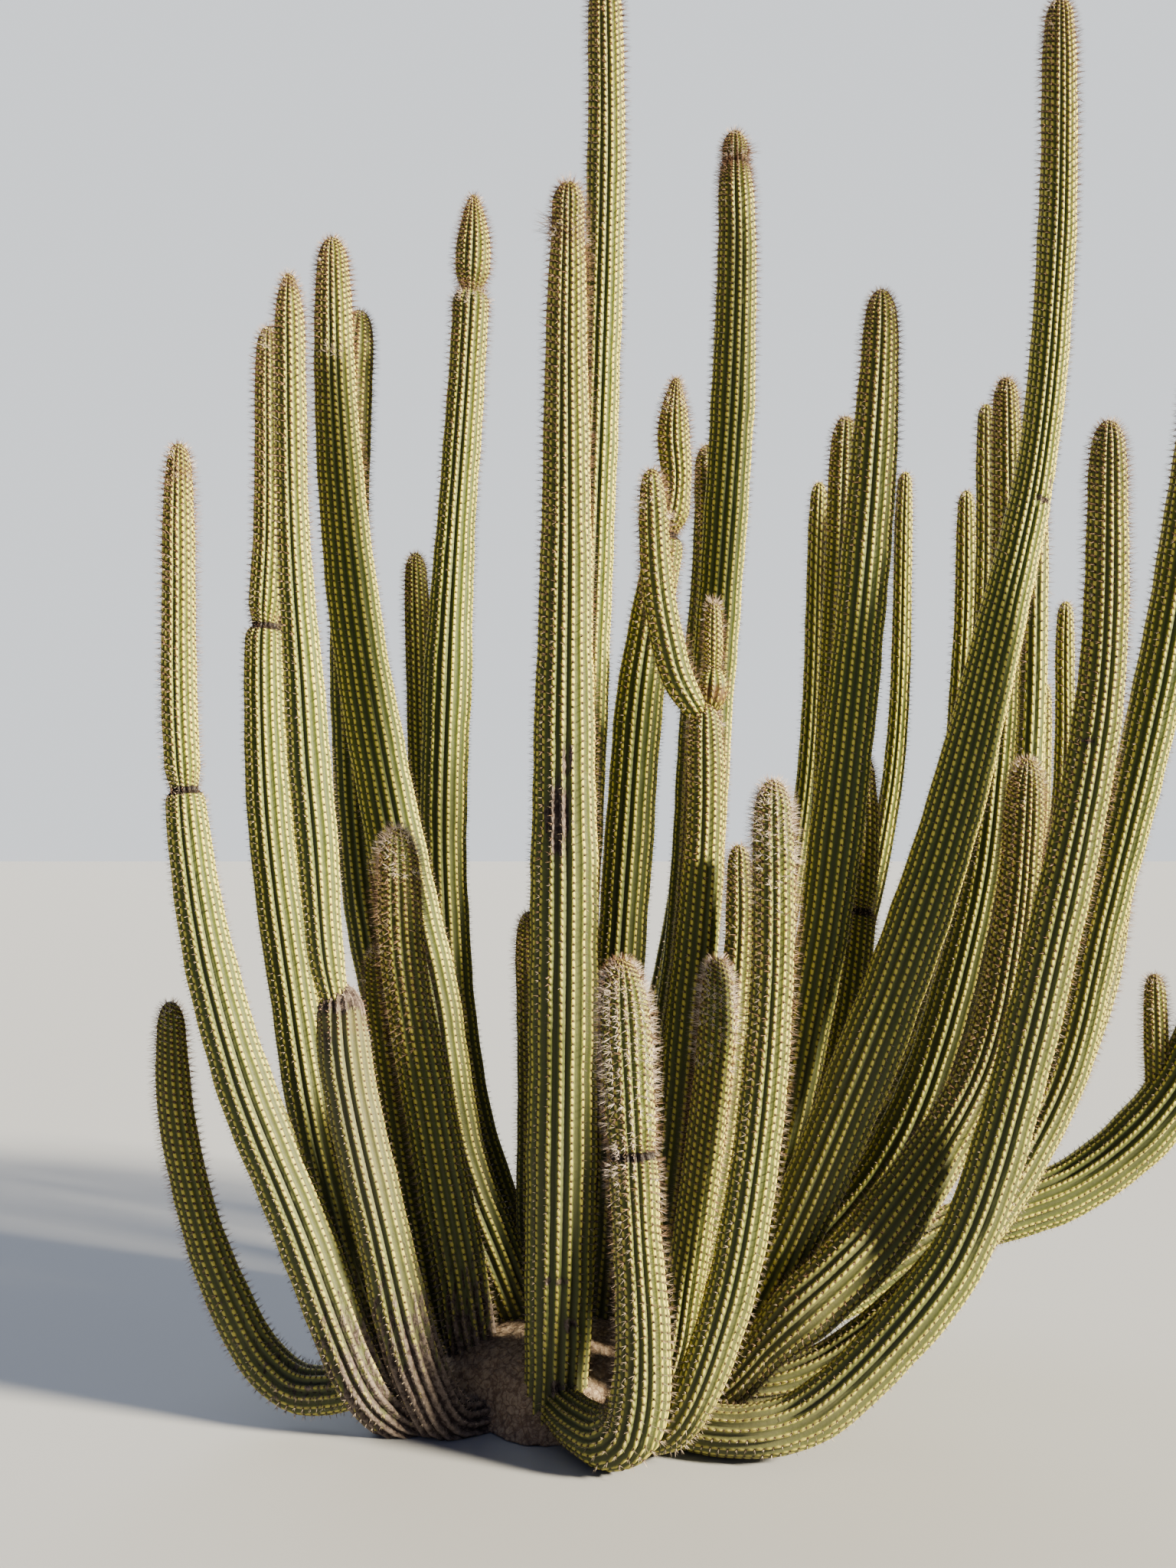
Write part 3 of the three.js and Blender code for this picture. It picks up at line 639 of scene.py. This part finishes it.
def grow_arm(
    name, path, waists=(), scars=(), tufts=(), bend=False, ribs=0, pitch=AREOLE_PITCH, **looks,
):
    """One arm's skin, in place of its solids, with its areoles. Its path is a list of places, each
    with the width there. A waist has a height and a width. A scar has a height, a bearing in degrees
    from the front to the right, a half width and a half height. A tuft has a height, a bearing, a
    reach, and the vigour and kind of its spines."""
    seed = len(areoles) + 1
    chance = np.random.default_rng(seed)
    looks = {**PLAIN_LOOKS, "phase": seed * 1.7, **looks}
    widest = max(width for *place, width in path)
    ribs = ribs or 2 * round(4 + RIBS_PER_WIDTH * widest / 2)
    places, rings = lay_rings(path, waists, scars, ribs, pitch, looks)
    twist = round(ROW_TWIST * ribs) / ribs
    mesh = bpy.data.meshes.new(name)
    foot = places[:1] - rings["along"][:1] * 2 * MM  # a ring of no width that closes the foot
    mesh.from_pydata(np.vstack([foot, places]).tolist(), [(k, k + 1) for k in range(len(places))], [])
    for key, values in rings.items():
        values = np.concatenate([values[:1], values])
        if key == "half_width":
            values[0] = 0
        tell(mesh, key, values)
    mesh = run_tree(mesh, skin_tree, {
        "Ribs": ribs, "Rib depth": RIB_DEPTH, "Row twist": twist, "Unevenness": UNEVENNESS * MM,
        "Material": stem_skin,
    })
    marks = []
    for height, bearing, *rest in (*scars, *tufts):
        ring = np.argmax(places[:, 2] >= height * MM)
        facing = np.array([math.sin(math.radians(bearing)), -math.cos(math.radians(bearing)), 0])
        marks.append((places[ring] + rings["half_width"][ring] * facing, *rest))
    scar_skin(mesh, marks[:len(scars)], chance)
    areoles[name] = find_areoles(mesh, ribs, twist, marks[len(scars):], chance)
    nodes = [f"arm_{name}_bend", "arm_" + name] if bend else ["arm_" + name]
    show("skin_" + name, mesh, "skin", *nodes)


# The tree that sets a cluster of spines on each areole: a few long ones that stand out, and short
# ones that lie flatter all round. Angles are in radians.
SPINE_TURN = 2.4
LONG_TILT = 0.1  # of the long spines, from the outward direction
SHORT_TILT = 0.75  # of the short ones beyond that
LOOSE_TILT = 0.5  # the most that chance adds
SPINE_STAIN = 14.29  # between light and dark along a spine, in millimetres
tree, given, out = new_tree("spine_clusters", {
    "Spines": "Float", "Long ones": "Float", "Length": "Float", "Thickness": "Float", "Seed": "Int",
    "Material": "Material",
})
points = add_node(tree, "MeshToPoints", {"Mesh": given["Mesh"]})
draws = []
for k in range(4):
    seed = add_node(tree, "Math", [given["Seed"], 10 + k], "ADD")
    draws.append(add_node(tree, "RandomValue", {"Seed": seed}))
fur = add_node(tree, "InputNamedAttribute", {"Name": "fur"})
vigour = add_node(tree, "Math", [fur, 0.7, 0.3], "MULTIPLY_ADD")
amount = add_node(tree, "Math", [vigour, given["Spines"], draws[3]], "MULTIPLY_ADD")
amount = add_node(tree, "Math", [amount], "FLOOR")
spread = add_node(tree, "DuplicateElements", {"Geometry": points, "Amount": amount}, domain="POINT")
copy = spread.node.outputs["Duplicate Index"]
last = add_node(tree, "Math", [given["Long ones"], 0.5], "SUBTRACT")
flatter = add_node(tree, "Math", [copy, last], "GREATER_THAN")

# Each spine stands on from the last one by the same turn, and the short ones lean further out.
turn = add_node(tree, "Math", [draws[0], 6], "MULTIPLY")
turn = add_node(tree, "Math", [copy, SPINE_TURN, turn], "MULTIPLY_ADD")
tilt = add_node(tree, "Math", [flatter, SHORT_TILT, LONG_TILT], "MULTIPLY_ADD")
tilt = add_node(tree, "Math", [draws[1], LOOSE_TILT, tilt], "MULTIPLY_ADD")
outward = add_node(tree, "InputNamedAttribute", {"Name": "outward"}, data_type="FLOAT_VECTOR")
along = add_node(tree, "InputNamedAttribute", {"Name": "along"}, data_type="FLOAT_VECTOR")
side = add_node(tree, "VectorMath", [outward, along], "CROSS_PRODUCT")
side = add_node(tree, "VectorMath", [side], "NORMALIZE")
across = add_node(tree, "VectorMath", [side, outward], "CROSS_PRODUCT")
across = add_node(tree, "VectorMath", [across], "NORMALIZE")
cosine = add_node(tree, "Math", [turn], "COSINE")
sine = add_node(tree, "Math", [turn], "SINE")
flat = add_node(tree, "VectorMath", {0: across, "Scale": cosine}, "SCALE")
other = add_node(tree, "VectorMath", {0: side, "Scale": sine}, "SCALE")
flat = add_node(tree, "VectorMath", [flat, other], "ADD")
cosine = add_node(tree, "Math", [tilt], "COSINE")
sine = add_node(tree, "Math", [tilt], "SINE")
flat = add_node(tree, "VectorMath", {0: flat, "Scale": sine}, "SCALE")
up = add_node(tree, "VectorMath", {0: outward, "Scale": cosine}, "SCALE")
aim = add_node(tree, "VectorMath", [up, flat], "ADD")
stance = add_node(tree, "AlignRotationToVector", {"Vector": aim}, axis="Z")

# Their lengths vary, and they are shorter where the areole is weak.
long = add_node(tree, "Math", [draws[2], 0.35, 0.75], "MULTIPLY_ADD")
long = add_node(tree, "Math", [long, given["Length"]], "MULTIPLY")
long = add_node(tree, "Math", [long, vigour], "MULTIPLY")
short = add_node(tree, "Math", [flatter, -0.45, 1], "MULTIPLY_ADD")
long = add_node(tree, "Math", [long, short], "MULTIPLY")
size = add_node(tree, "CombineXYZ", {"X": 1, "Y": 1, "Z": long})

# A spine is a three-sided point without its third side, which leaves a folded blade.
thick = add_node(tree, "Math", [given["Thickness"], 0.5], "MULTIPLY")
spine = add_node(tree, "MeshCone", {
    "Vertices": 3, "Radius Top": 0, "Radius Bottom": thick, "Depth": 1,
}, fill_type="NONE")
third = add_node(tree, "Math", [add_node(tree, "InputIndex"), 1.5], "GREATER_THAN")
spine = add_node(tree, "DeleteGeometry", {"Geometry": spine, "Selection": third}, domain="FACE")
spines = add_node(tree, "InstanceOnPoints", {
    "Points": spread, "Instance": spine, "Rotation": stance, "Scale": size,
})
spines = add_node(tree, "RealizeInstances", {"Geometry": spines})
spines = add_node(tree, "SetMaterial", {"Geometry": spines, "Material": given["Material"]})
tree.links.new(spines, out)
spine_tree = tree

# Spines are stiff hardened needles, drawn as folded blades a little thicker than the real ones, which
# would be too fine to show. They open reddish brown, weather to grey, and stay pinkish white on the
# young arms at the front.
SPINE_KINDS = {
    "grey": dict(spines=5.8, long_ones=4, length=25, thickness=1.2, dark=0x4E3D35, light=0xB4A48E),
    "brown": dict(spines=6.4, long_ones=4, length=27, thickness=1.2, dark=0x54392F, light=0xB4957A),
    "pale": dict(spines=9.0, long_ones=5, length=27, thickness=1.3, dark=0xA08A7C, light=0xEADFD4),
}
for kind, look in SPINE_KINDS.items():
    material, tree, shader = new_material(kind + "_spines")
    place = add_node(tree, "TexCoord").node.outputs["Object"]
    stain = add_node(tree, "TexNoise", {"Vector": place, "Scale": 1 / (SPINE_STAIN * MM)})
    colour = add_node(tree, "ValToRGB", {"Fac": stain}, stops=[(0.35, look["dark"]), (0.65, look["light"])])
    tree.links.new(colour, shader.inputs["Base Color"])
    shader.inputs["Roughness"].default_value = 0.55
    look["material"] = material


def grow_arms(group, arms, **shared):
    """A group of arms, and their spines, with each kind of spine in a piece of its own."""
    for name, arm in arms.items():
        grow_arm(name, **shared, **arm)
    found = [areoles[name] for name in arms]
    for kind, look in SPINE_KINDS.items():
        chosen = {
            key: np.concatenate([arm[key][arm["kind"] == kind] for arm in found])
            for key in ("place", "outward", "along", "fur")
        }
        mesh = bpy.data.meshes.new(kind)
        mesh.from_pydata(chosen["place"].tolist(), [], [])
        for key in ("outward", "along", "fur"):
            tell(mesh, key, chosen[key])
        mesh = run_tree(mesh, spine_tree, {
            "Spines": look["spines"], "Long ones": look["long_ones"], "Length": look["length"] * MM,
            "Thickness": look["thickness"] * MM, "Seed": 3, "Material": look["material"],
        })
        show(f"{group}_spines_{kind}", mesh, "spines")


FRONT_ARMS = {
    "front_centre": dict(
        scars=[(1560, -14, 60, 150), (1700, 6, 22, 70), (398, 6, 24, 18), (400, -18, 24, 18),
            (285, 22, 32, 32), (128, 0, 38, 34)],
        tufts=[(3070, -85, 24, 2.6, "brown"), (2995, 80, 34, 1.4, "brown"), (2870, 80, 22, 1.4, "brown")],
        bare=0.35, furry=2.2, young=2.5, slim=0.0, woolly=[(3055, 20, 0.4), (3196, 26, 0.8)], path=[
            (-10, -100, -20, 150), (0, -100, 135, 165), (10, -110, 530, 180), (20, -120, 1345, 175),
            (20, -110, 1775, 155), (25, -90, 2285, 130), (25, -80, 2780, 108), (27, -75, 2960, 97),
            (28, -72, 3060, 86), (30, -70, 3200, 82)]),
    "front_short": dict(
        bend=True, waists=[(765, 104)], ribs=18, pale=0.75, whitened=0.42, fur=1.2, bare=0.6, capped=0.3,
        path=[
            (-5, -90, 72, 115), (75, -270, 73, 130), (138, -356, 80, 142), (184, -380, 116, 149),
            (203, -386, 182, 145), (210, -390, 330, 130), (195, -380, 600, 115), (170, -355, 1050, 122),
            (160, -350, 1230, 110)]),
    "front_right": dict(
        ribs=16, pale=0.85, whitened=0.24, capped=0.9, fur=1.25, bare=0.4, furry=1.2, path=[
        (150, 10, 60, 95), (255, -270, 62, 102), (320, -350, 155, 106), (415, -350, 410, 120),
        (480, -340, 735, 115), (525, -310, 1175, 105), (530, -285, 1660, 100)]),
    "front_little": dict(
        ribs=16, pale=0.8, whitened=0.22, capped=0.8, fur=1.25, bare=0.4, furry=0.8, path=[
        (185, 0, 40, 90), (280, -130, 165, 95), (330, -180, 450, 100), (400, -180, 1025, 92),
        (405, -170, 1215, 78)]),
    "brown_topped": dict(furry=0.8, path=[
        (205, 50, 80, 90), (305, -30, 270, 86), (400, -50, 590, 86), (470, -50, 1245, 75),
        (470, -50, 1495, 70)]),
}
grow_arms("front", FRONT_ARMS)


# Arms on the right of the crown
# The biggest stems of the clump, which leave the crown low and sweep up to the right. They are
# living stems with the same pleated skin. Two carry old scars, and one has a waist where its
# growth stopped for a season.
RIGHT_ARMS = {
    "right_front": dict(
        bend=True, scars=[(1755, -35, 30, 14)], bare=0.2, furry=1.8, young=2.0, path=[
        (125, -70, 58, 105), (330, -230, 64, 116), (475, -290, 74, 126), (625, -300, 120, 135),
        (905, -290, 390, 142), (1020, -280, 575, 136), (1235, -250, 1320, 130), (1350, -220, 1885, 115),
        (1375, -205, 2555, 92)]),
    "right_swollen": dict(bend=True, bare=0.5, young=2.6, greyed=0.2, path=[
        (260, -50, 60, 96), (355, -120, 72, 105), (440, -150, 135, 110), (525, -170, 235, 116),
        (610, -180, 325, 160), (740, -170, 440, 165), (840, -130, 535, 170), (1095, -50, 905, 125),
        (1190, -20, 1280, 110), (1230, 0, 1720, 100)]),
    "right_tall": dict(scars=[(2385, 45, 36, 14), (2425, 62, 20, 22), (2395, 12, 18, 10)], path=[
        (245, 70, 40, 120), (385, 10, 85, 132), (525, -30, 310, 145), (785, -50, 905, 165),
        (1005, -30, 1500, 150), (1165, -10, 2100, 122), (1260, 20, 2505, 100), (1320, 50, 3080, 100),
        (1335, 70, 3745, 86)]),
    "right_middle": dict(path=[
        (250, 170, 55, 115), (485, 210, 125, 125), (695, 230, 340, 140), (940, 220, 660, 150),
        (1140, 210, 1285, 122), (1205, 230, 1705, 105), (1245, 270, 2240, 86), (1255, 310, 2800, 80)]),
    "right_leaning": dict(path=[
        (210, 170, 55, 115), (380, 230, 120, 125), (515, 180, 345, 130), (705, 150, 1185, 135),
        (750, 150, 1495, 145), (815, 180, 2020, 135), (860, 200, 2505, 130), (885, 220, 2865, 102),
        (890, 230, 3020, 94)]),
    "right_waisted": dict(waists=[(1290, 58)], path=[
        (255, 250, 70, 95), (495, 320, 220, 100), (715, 350, 580, 100), (820, 370, 965, 95),
        (870, 380, 1470, 80), (865, 380, 1740, 74)]),
}
grow_arms("right", RIGHT_ARMS)


# Arms at the far right
# A tall arm with a side shoot, and a heavy one that lies out low before it rises, with a shoot of
# its own. They are living stems like the rest, grown from the crown and from each other.
FAR_RIGHT_ARMS = {
    "right_edge": dict(bend=True, bare=0.4, path=[
        (245, 50, 65, 100), (445, -10, 75, 110), (640, -30, 112, 120), (900, -30, 285, 125),
        (1125, 0, 530, 130), (1330, 50, 860, 120), (1450, 70, 1295, 115), (1580, 90, 1805, 130),
        (1645, 100, 2115, 125), (1775, 150, 2885, 104)]),
    "right_edge_branch": dict(path=[
        (1250, 50, 710, 76), (1405, 230, 840, 88), (1540, 350, 1100, 88), (1650, 450, 1590, 72)]),
    "right_low": dict(bend=True, path=[
        (255, 270, 85, 110), (480, 400, 100, 125), (825, 510, 160, 140), (1130, 550, 320, 155),
        (1515, 550, 465, 165), (1740, 550, 645, 170), (1875, 550, 850, 160), (1985, 570, 1215, 140),
        (2045, 600, 1830, 118)]),
    "right_low_shoot": dict(bare=0.9, pale=0.4, woolly=[(1075, 20, 0.8)], path=[
        (1770, 560, 715, 66), (1770, 570, 915, 74), (1765, 570, 1095, 72)]),
}
grow_arms("far_right", FAR_RIGHT_ARMS)


# Arms in the middle
# Upright living stems behind the front ones. One is forked, where two young stems grew from the
# spoilt tip of the old one, and one has a deep waist from a season without growth.
MIDDLE_ARMS = {
    "middle_tallest": dict(furry=2.5, path=[
        (-15, 210, 45, 135), (10, 220, 335, 140), (30, 210, 1075, 125), (60, 210, 1495, 118),
        (90, 200, 2125, 106), (130, 200, 3385, 104), (125, 200, 3905, 90)]),
    "middle_forked": dict(capped=0.1, fur=0.8, path=[
        (165, 150, 45, 110), (275, 100, 370, 120), (355, 50, 1095, 120), (390, 50, 1540, 100),
        (390, 50, 1875, 95)]),
    "fork_left": dict(tufts=[(2350, -70, 24, 1.2, "pale"), (2330, 85, 22, 1.2, "pale")], fur=1.1, path=[
        (372, 48, 1840, 64), (319, 28, 1925, 82), (294, 20, 2005, 88), (262, 0, 2180, 83),
        (245, -10, 2475, 72)]),
    "fork_right": dict(
        waists=[(1958, 44)], ringed=0.0, fur=0.8, furry=0.1, bare=0.25, young=0.05,
        woolly=[(1887, 26, 0.0), (2138, 18, 0.9)], path=[
            (402, 54, 1850, 46), (408, 64, 1888, 84), (411, 69, 1925, 78), (413, 73, 1960, 52),
            (414, 74, 2030, 56), (414, 74, 2140, 52)]),
    "middle_pinched": dict(waists=[(2360, 52)], pointed=2.0, path=[
        (105, 210, 85, 120), (140, 270, 425, 130), (160, 310, 955, 135), (195, 330, 1490, 140),
        (230, 350, 1925, 135), (278, 350, 2230, 112), (330, 350, 2490, 84), (322, 350, 2650, 92),
        (330, 350, 2810, 84)]),
}
grow_arms("middle", MIDDLE_ARMS)


# Arms at the back
# Tall old stems of the same living skin, rooted in the rear of the crown. One has a ring near its
# top and one a knob, each above the waist that a stopped season leaves.
BACK_ARMS = {
    "back_banded": dict(
        waists=[(3494, 78)], tufts=[(3528, 80, 16, 1.9, "brown")], ringed=0.5, fur=1.1,
        woolly=[(3498, 13, 0.2)], path=[
        (130, 350, 80, 120), (230, 420, 300, 130), (375, 460, 1045, 135), (440, 470, 1890, 125),
        (505, 520, 2770, 130), (520, 535, 3250, 112), (518, 542, 3390, 108), (516, 546, 3480, 92),
        (515, 550, 3595, 94)]),
    "middle_stub": dict(path=[
        (-45, 350, 35, 105), (-70, 410, 390, 110), (-75, 430, 825, 96), (-90, 430, 1290, 86)]),
    "back_right_dark": dict(path=[
        (255, 300, 105, 100), (380, 380, 225, 106), (645, 490, 705, 105), (775, 570, 1370, 105),
        (825, 600, 2060, 100), (855, 620, 2765, 88)]),
    "back_right_tall": dict(path=[
        (75, 450, 55, 110), (180, 620, 240, 118), (355, 710, 1015, 120), (420, 720, 1880, 115),
        (460, 730, 2495, 106), (445, 730, 2705, 96)]),
    "back_knobbed": dict(
        waists=[(3128, 64)], ringed=0.0, pointed=2.1, fur=1.1, woolly=[(3116, 15, 0.9)], path=[
        (-25, 330, 55, 118), (-95, 470, 195, 134), (-275, 530, 695, 140), (-345, 550, 1375, 135),
        (-335, 550, 1985, 145), (-315, 570, 2395, 116), (-285, 600, 2860, 110), (-265, 620, 3280, 106),
        (-265, 630, 3435, 96)]),
    "back_left_dark": dict(path=[
        (-35, 430, 75, 95), (-145, 630, 195, 100), (-320, 790, 645, 100), (-425, 870, 1405, 95),
        (-470, 900, 2400, 78)]),
}
grow_arms("back", BACK_ARMS)


# Arms on the left of the crown
# The outermost living stems, with the most dead cork at their feet. One died back at its tip and
# grew on beside the scar, and two have rings where growth stopped.
LEFT_ARMS = {
    "left_outer": dict(waists=[(1630, 68)], cork=0.7, woolly=[(2444, 12, 0.1)], path=[
        (-235, 0, 0, 110), (-365, -90, 10, 120), (-440, -120, 70, 130), (-495, -150, 160, 140),
        (-640, -170, 545, 145), (-790, -180, 930, 140), (-890, -170, 1310, 120), (-945, -150, 1735, 90),
        (-960, -120, 2240, 82), (-965, -100, 2520, 70)]),
    "left_low": dict(bend=True, cork=0.5, path=[
        (-480, -150, 140, 110), (-580, -110, 108, 120), (-670, -80, 105, 125), (-765, -50, 170, 120),
        (-845, -50, 315, 115), (-920, -50, 510, 100), (-985, -50, 805, 92), (-1000, -50, 1090, 78)]),
    "left_scarred": dict(
        scars=[(1130, 0, 120, 80), (1120, 90, 90, 85), (1120, -90, 90, 85), (1120, 180, 90, 80),
            (1010, -30, 20, 60)],
        fur=0.1, young=0.01, greyed=1.0, cork=0.8, pointed=0.62, slim=0.04, path=[
        (-135, 0, 0, 130), (-270, -100, 20, 145), (-345, -130, 155, 150), (-440, -170, 545, 136),
        (-525, -170, 930, 136), (-545, -174, 1152, 125)]),
    "left_regrown": dict(pointed=1.7, woolly=[(2932, 14, 0.2)], path=[
        (-550, -178, 1085, 66), (-575, -180, 1215, 90), (-600, -170, 1505, 105), (-620, -160, 1695, 110),
        (-635, -150, 1890, 100), (-670, -110, 2280, 82), (-690, -70, 2965, 78)]),
    "left_banded": dict(waists=[(2070, 64)], cork=0.7, path=[
        (-280, 50, -20, 120), (-400, 30, 55, 135), (-505, 20, 290, 140), (-625, 40, 690, 135),
        (-700, 60, 1090, 125), (-765, 80, 1540, 120), (-790, 110, 1990, 104), (-780, 130, 2325, 84),
        (-785, 150, 2895, 74)]),
    "left_short": dict(cork=0.75, fur=1.5, pale=0.8, whitened=0.1, capped=0.9, path=[
        (-120, 50, 0, 120), (-215, 100, 105, 138), (-265, 90, 370, 145), (-340, 60, 785, 135),
        (-410, 50, 1195, 120), (-425, 50, 1540, 112)]),
    "left_little": dict(path=[
        (-165, 150, 25, 95), (-295, 200, 110, 104), (-380, 190, 450, 110), (-450, 180, 870, 105),
        (-495, 175, 1210, 100)]),
    "left_thick": dict(tufts=[(2850, 20, 26, 1.2, "pale"), (2835, -5, 20, 1.2, "pale")], path=[
        (-20, 210, 45, 125), (-85, 250, 135, 150), (-170, 260, 325, 160), (-290, 270, 640, 165),
        (-360, 265, 1070, 160), (-455, 255, 1495, 160), (-570, 270, 2135, 145), (-625, 300, 2695, 122),
        (-645, 345, 3205, 92)]),
    "left_shaded": dict(path=[
        (-110, 300, 55, 105), (-240, 420, 190, 115), (-405, 550, 580, 120), (-585, 650, 1205, 120),
        (-650, 700, 1905, 115), (-645, 730, 2660, 110), (-625, 750, 3125, 98)]),
}
grow_arms("left", LEFT_ARMS)


# Slender arms at the back
# Young thin stems that show in the gaps between the others, grown from the rear of the crown.
# Their areoles are set further apart than real ones, which would be too fine to see this far off.
SLENDER_ARMS = {
    "slender_a": dict(path=[
        (220, 450, 100, 90), (430, 650, 235, 95), (915, 970, 675, 90), (1230, 1070, 1350, 85),
        (1320, 1090, 2105, 75), (1335, 1110, 2640, 65)]),
    "slender_b": dict(path=[
        (260, 410, 115, 90), (530, 570, 255, 90), (1070, 830, 760, 86), (1285, 910, 1480, 80),
        (1355, 950, 2215, 70), (1365, 970, 2890, 62)]),
    "slender_c": dict(path=[
        (150, 470, 95, 86), (330, 730, 210, 90), (820, 1090, 715, 85), (1085, 1150, 1600, 72),
        (1140, 1150, 2710, 58)]),
    "slender_d": dict(bend=True, path=[
        (305, 450, 100, 90), (645, 670, 230, 94), (1290, 1050, 710, 86), (1640, 1170, 1420, 75),
        (1695, 1210, 2285, 62)]),
    "slender_e": dict(bend=True, path=[
        (265, 470, 95, 90), (540, 790, 195, 94), (1175, 1230, 615, 90), (1580, 1290, 1285, 76),
        (1650, 1310, 2020, 66)]),
    "slender_f": dict(path=[
        (130, 490, 90, 86), (230, 800, 190, 90), (625, 1170, 755, 80), (815, 1250, 1600, 74),
        (870, 1270, 2700, 62)]),
}
grow_arms("slender", SLENDER_ARMS, ribs=12, pitch=WIDE_PITCH)


# Rear arms
# Living stems that fill the clump from behind, rooted in the crown and hidden from the front.
# Their areoles are set as far apart as on the slender arms.
REAR_ARMS = {
    "back_right_outer": dict(bend=True, path=[
        (260, 350, 110, 100), (485, 450, 155, 105), (950, 570, 440, 110), (1345, 690, 1015, 105),
        (1440, 750, 1720, 92), (1470, 780, 2575, 84)]),
    "rear_a": dict(path=[
        (-5, 470, 85, 105), (-15, 700, 315, 110), (0, 870, 995, 112), (15, 950, 2215, 108),
        (25, 990, 3165, 92)]),
    "rear_b": dict(path=[
        (-175, 350, 60, 96), (-330, 500, 165, 100), (-625, 670, 670, 102), (-820, 780, 1480, 96),
        (-870, 850, 2975, 82)]),
    "rear_c": dict(path=[
        (-85, 470, 50, 100), (-245, 730, 175, 106), (-470, 970, 735, 112), (-630, 1050, 1600, 106),
        (-725, 1090, 2840, 90)]),
    "rear_d": dict(path=[
        (30, 490, 65, 105), (110, 770, 245, 112), (330, 930, 985, 116), (470, 970, 1845, 110),
        (550, 1010, 3395, 94)]),
    "rear_e": dict(bend=True, path=[
        (300, 350, 100, 100), (630, 550, 170, 106), (1200, 870, 560, 112), (1500, 910, 915, 106),
        (1705, 970, 1725, 104), (1765, 1000, 2470, 90)]),
    "rear_f": dict(path=[
        (235, 370, 105, 100), (390, 530, 245, 106), (675, 750, 680, 106), (860, 870, 1480, 102),
        (990, 910, 2600, 90)]),
}
grow_arms("rear", REAR_ARMS, ribs=12, pitch=WIDE_PITCH)


# Floor and light
# A plain pale floor that runs out of sight, a broad soft light low on the right, a fainter and
# softer one behind, and a pale room all round to fill the shade.
REACH = 40  # metres from the middle of the floor to its edges
FLOOR_GREY = 0x7E8084
ROOM_GLOW = (0.2, 0.225, 0.35, 1)
BACKDROP = (1.1, 1.15, 1.2, 1)

floor_mesh = bpy.data.meshes.new("floor")
corners = [(-REACH, -REACH, 0), (REACH, -REACH, 0), (REACH, REACH, 0), (-REACH, REACH, 0)]
floor_mesh.from_pydata(corners, [], [(0, 1, 2, 3)])
floor = add_object("floor", floor_mesh)
painted, tree, shader = new_material("pale_floor")
shader.inputs["Base Color"].default_value = linear(FLOOR_GREY)
shader.inputs["Roughness"].default_value = 0.9
floor_mesh.materials.append(painted)

room = bpy.data.worlds.new("room")
room.use_nodes = True
seen = add_node(room.node_tree, "LightPath")
walls = add_node(room.node_tree, "Mix", {0: seen, 6: ROOM_GLOW, 7: BACKDROP}, data_type="RGBA")
room.node_tree.links.new(walls, room.node_tree.nodes["Background"].inputs["Color"])
bpy.context.scene.world = room

LIGHTS = {
    "key": dict(toward=(9.1, -4.2, 4.6), softness=8, energy=33, colour=(1.0, 0.88, 0.64)),
    "fill": dict(toward=(-1.5, 9, 4.5), softness=70, energy=5, colour=(0.88, 0.94, 1.0)),
}
for name, light in LIGHTS.items():
    lamp_data = bpy.data.lights.new(name, "SUN")
    lamp_data.angle = math.radians(light["softness"])
    lamp_data.energy = light["energy"]
    lamp_data.color = light["colour"]
    lamp = add_object(name, lamp_data)
    lamp.rotation_euler = Vector(light["toward"]).to_track_quat("Z", "Y").to_euler()
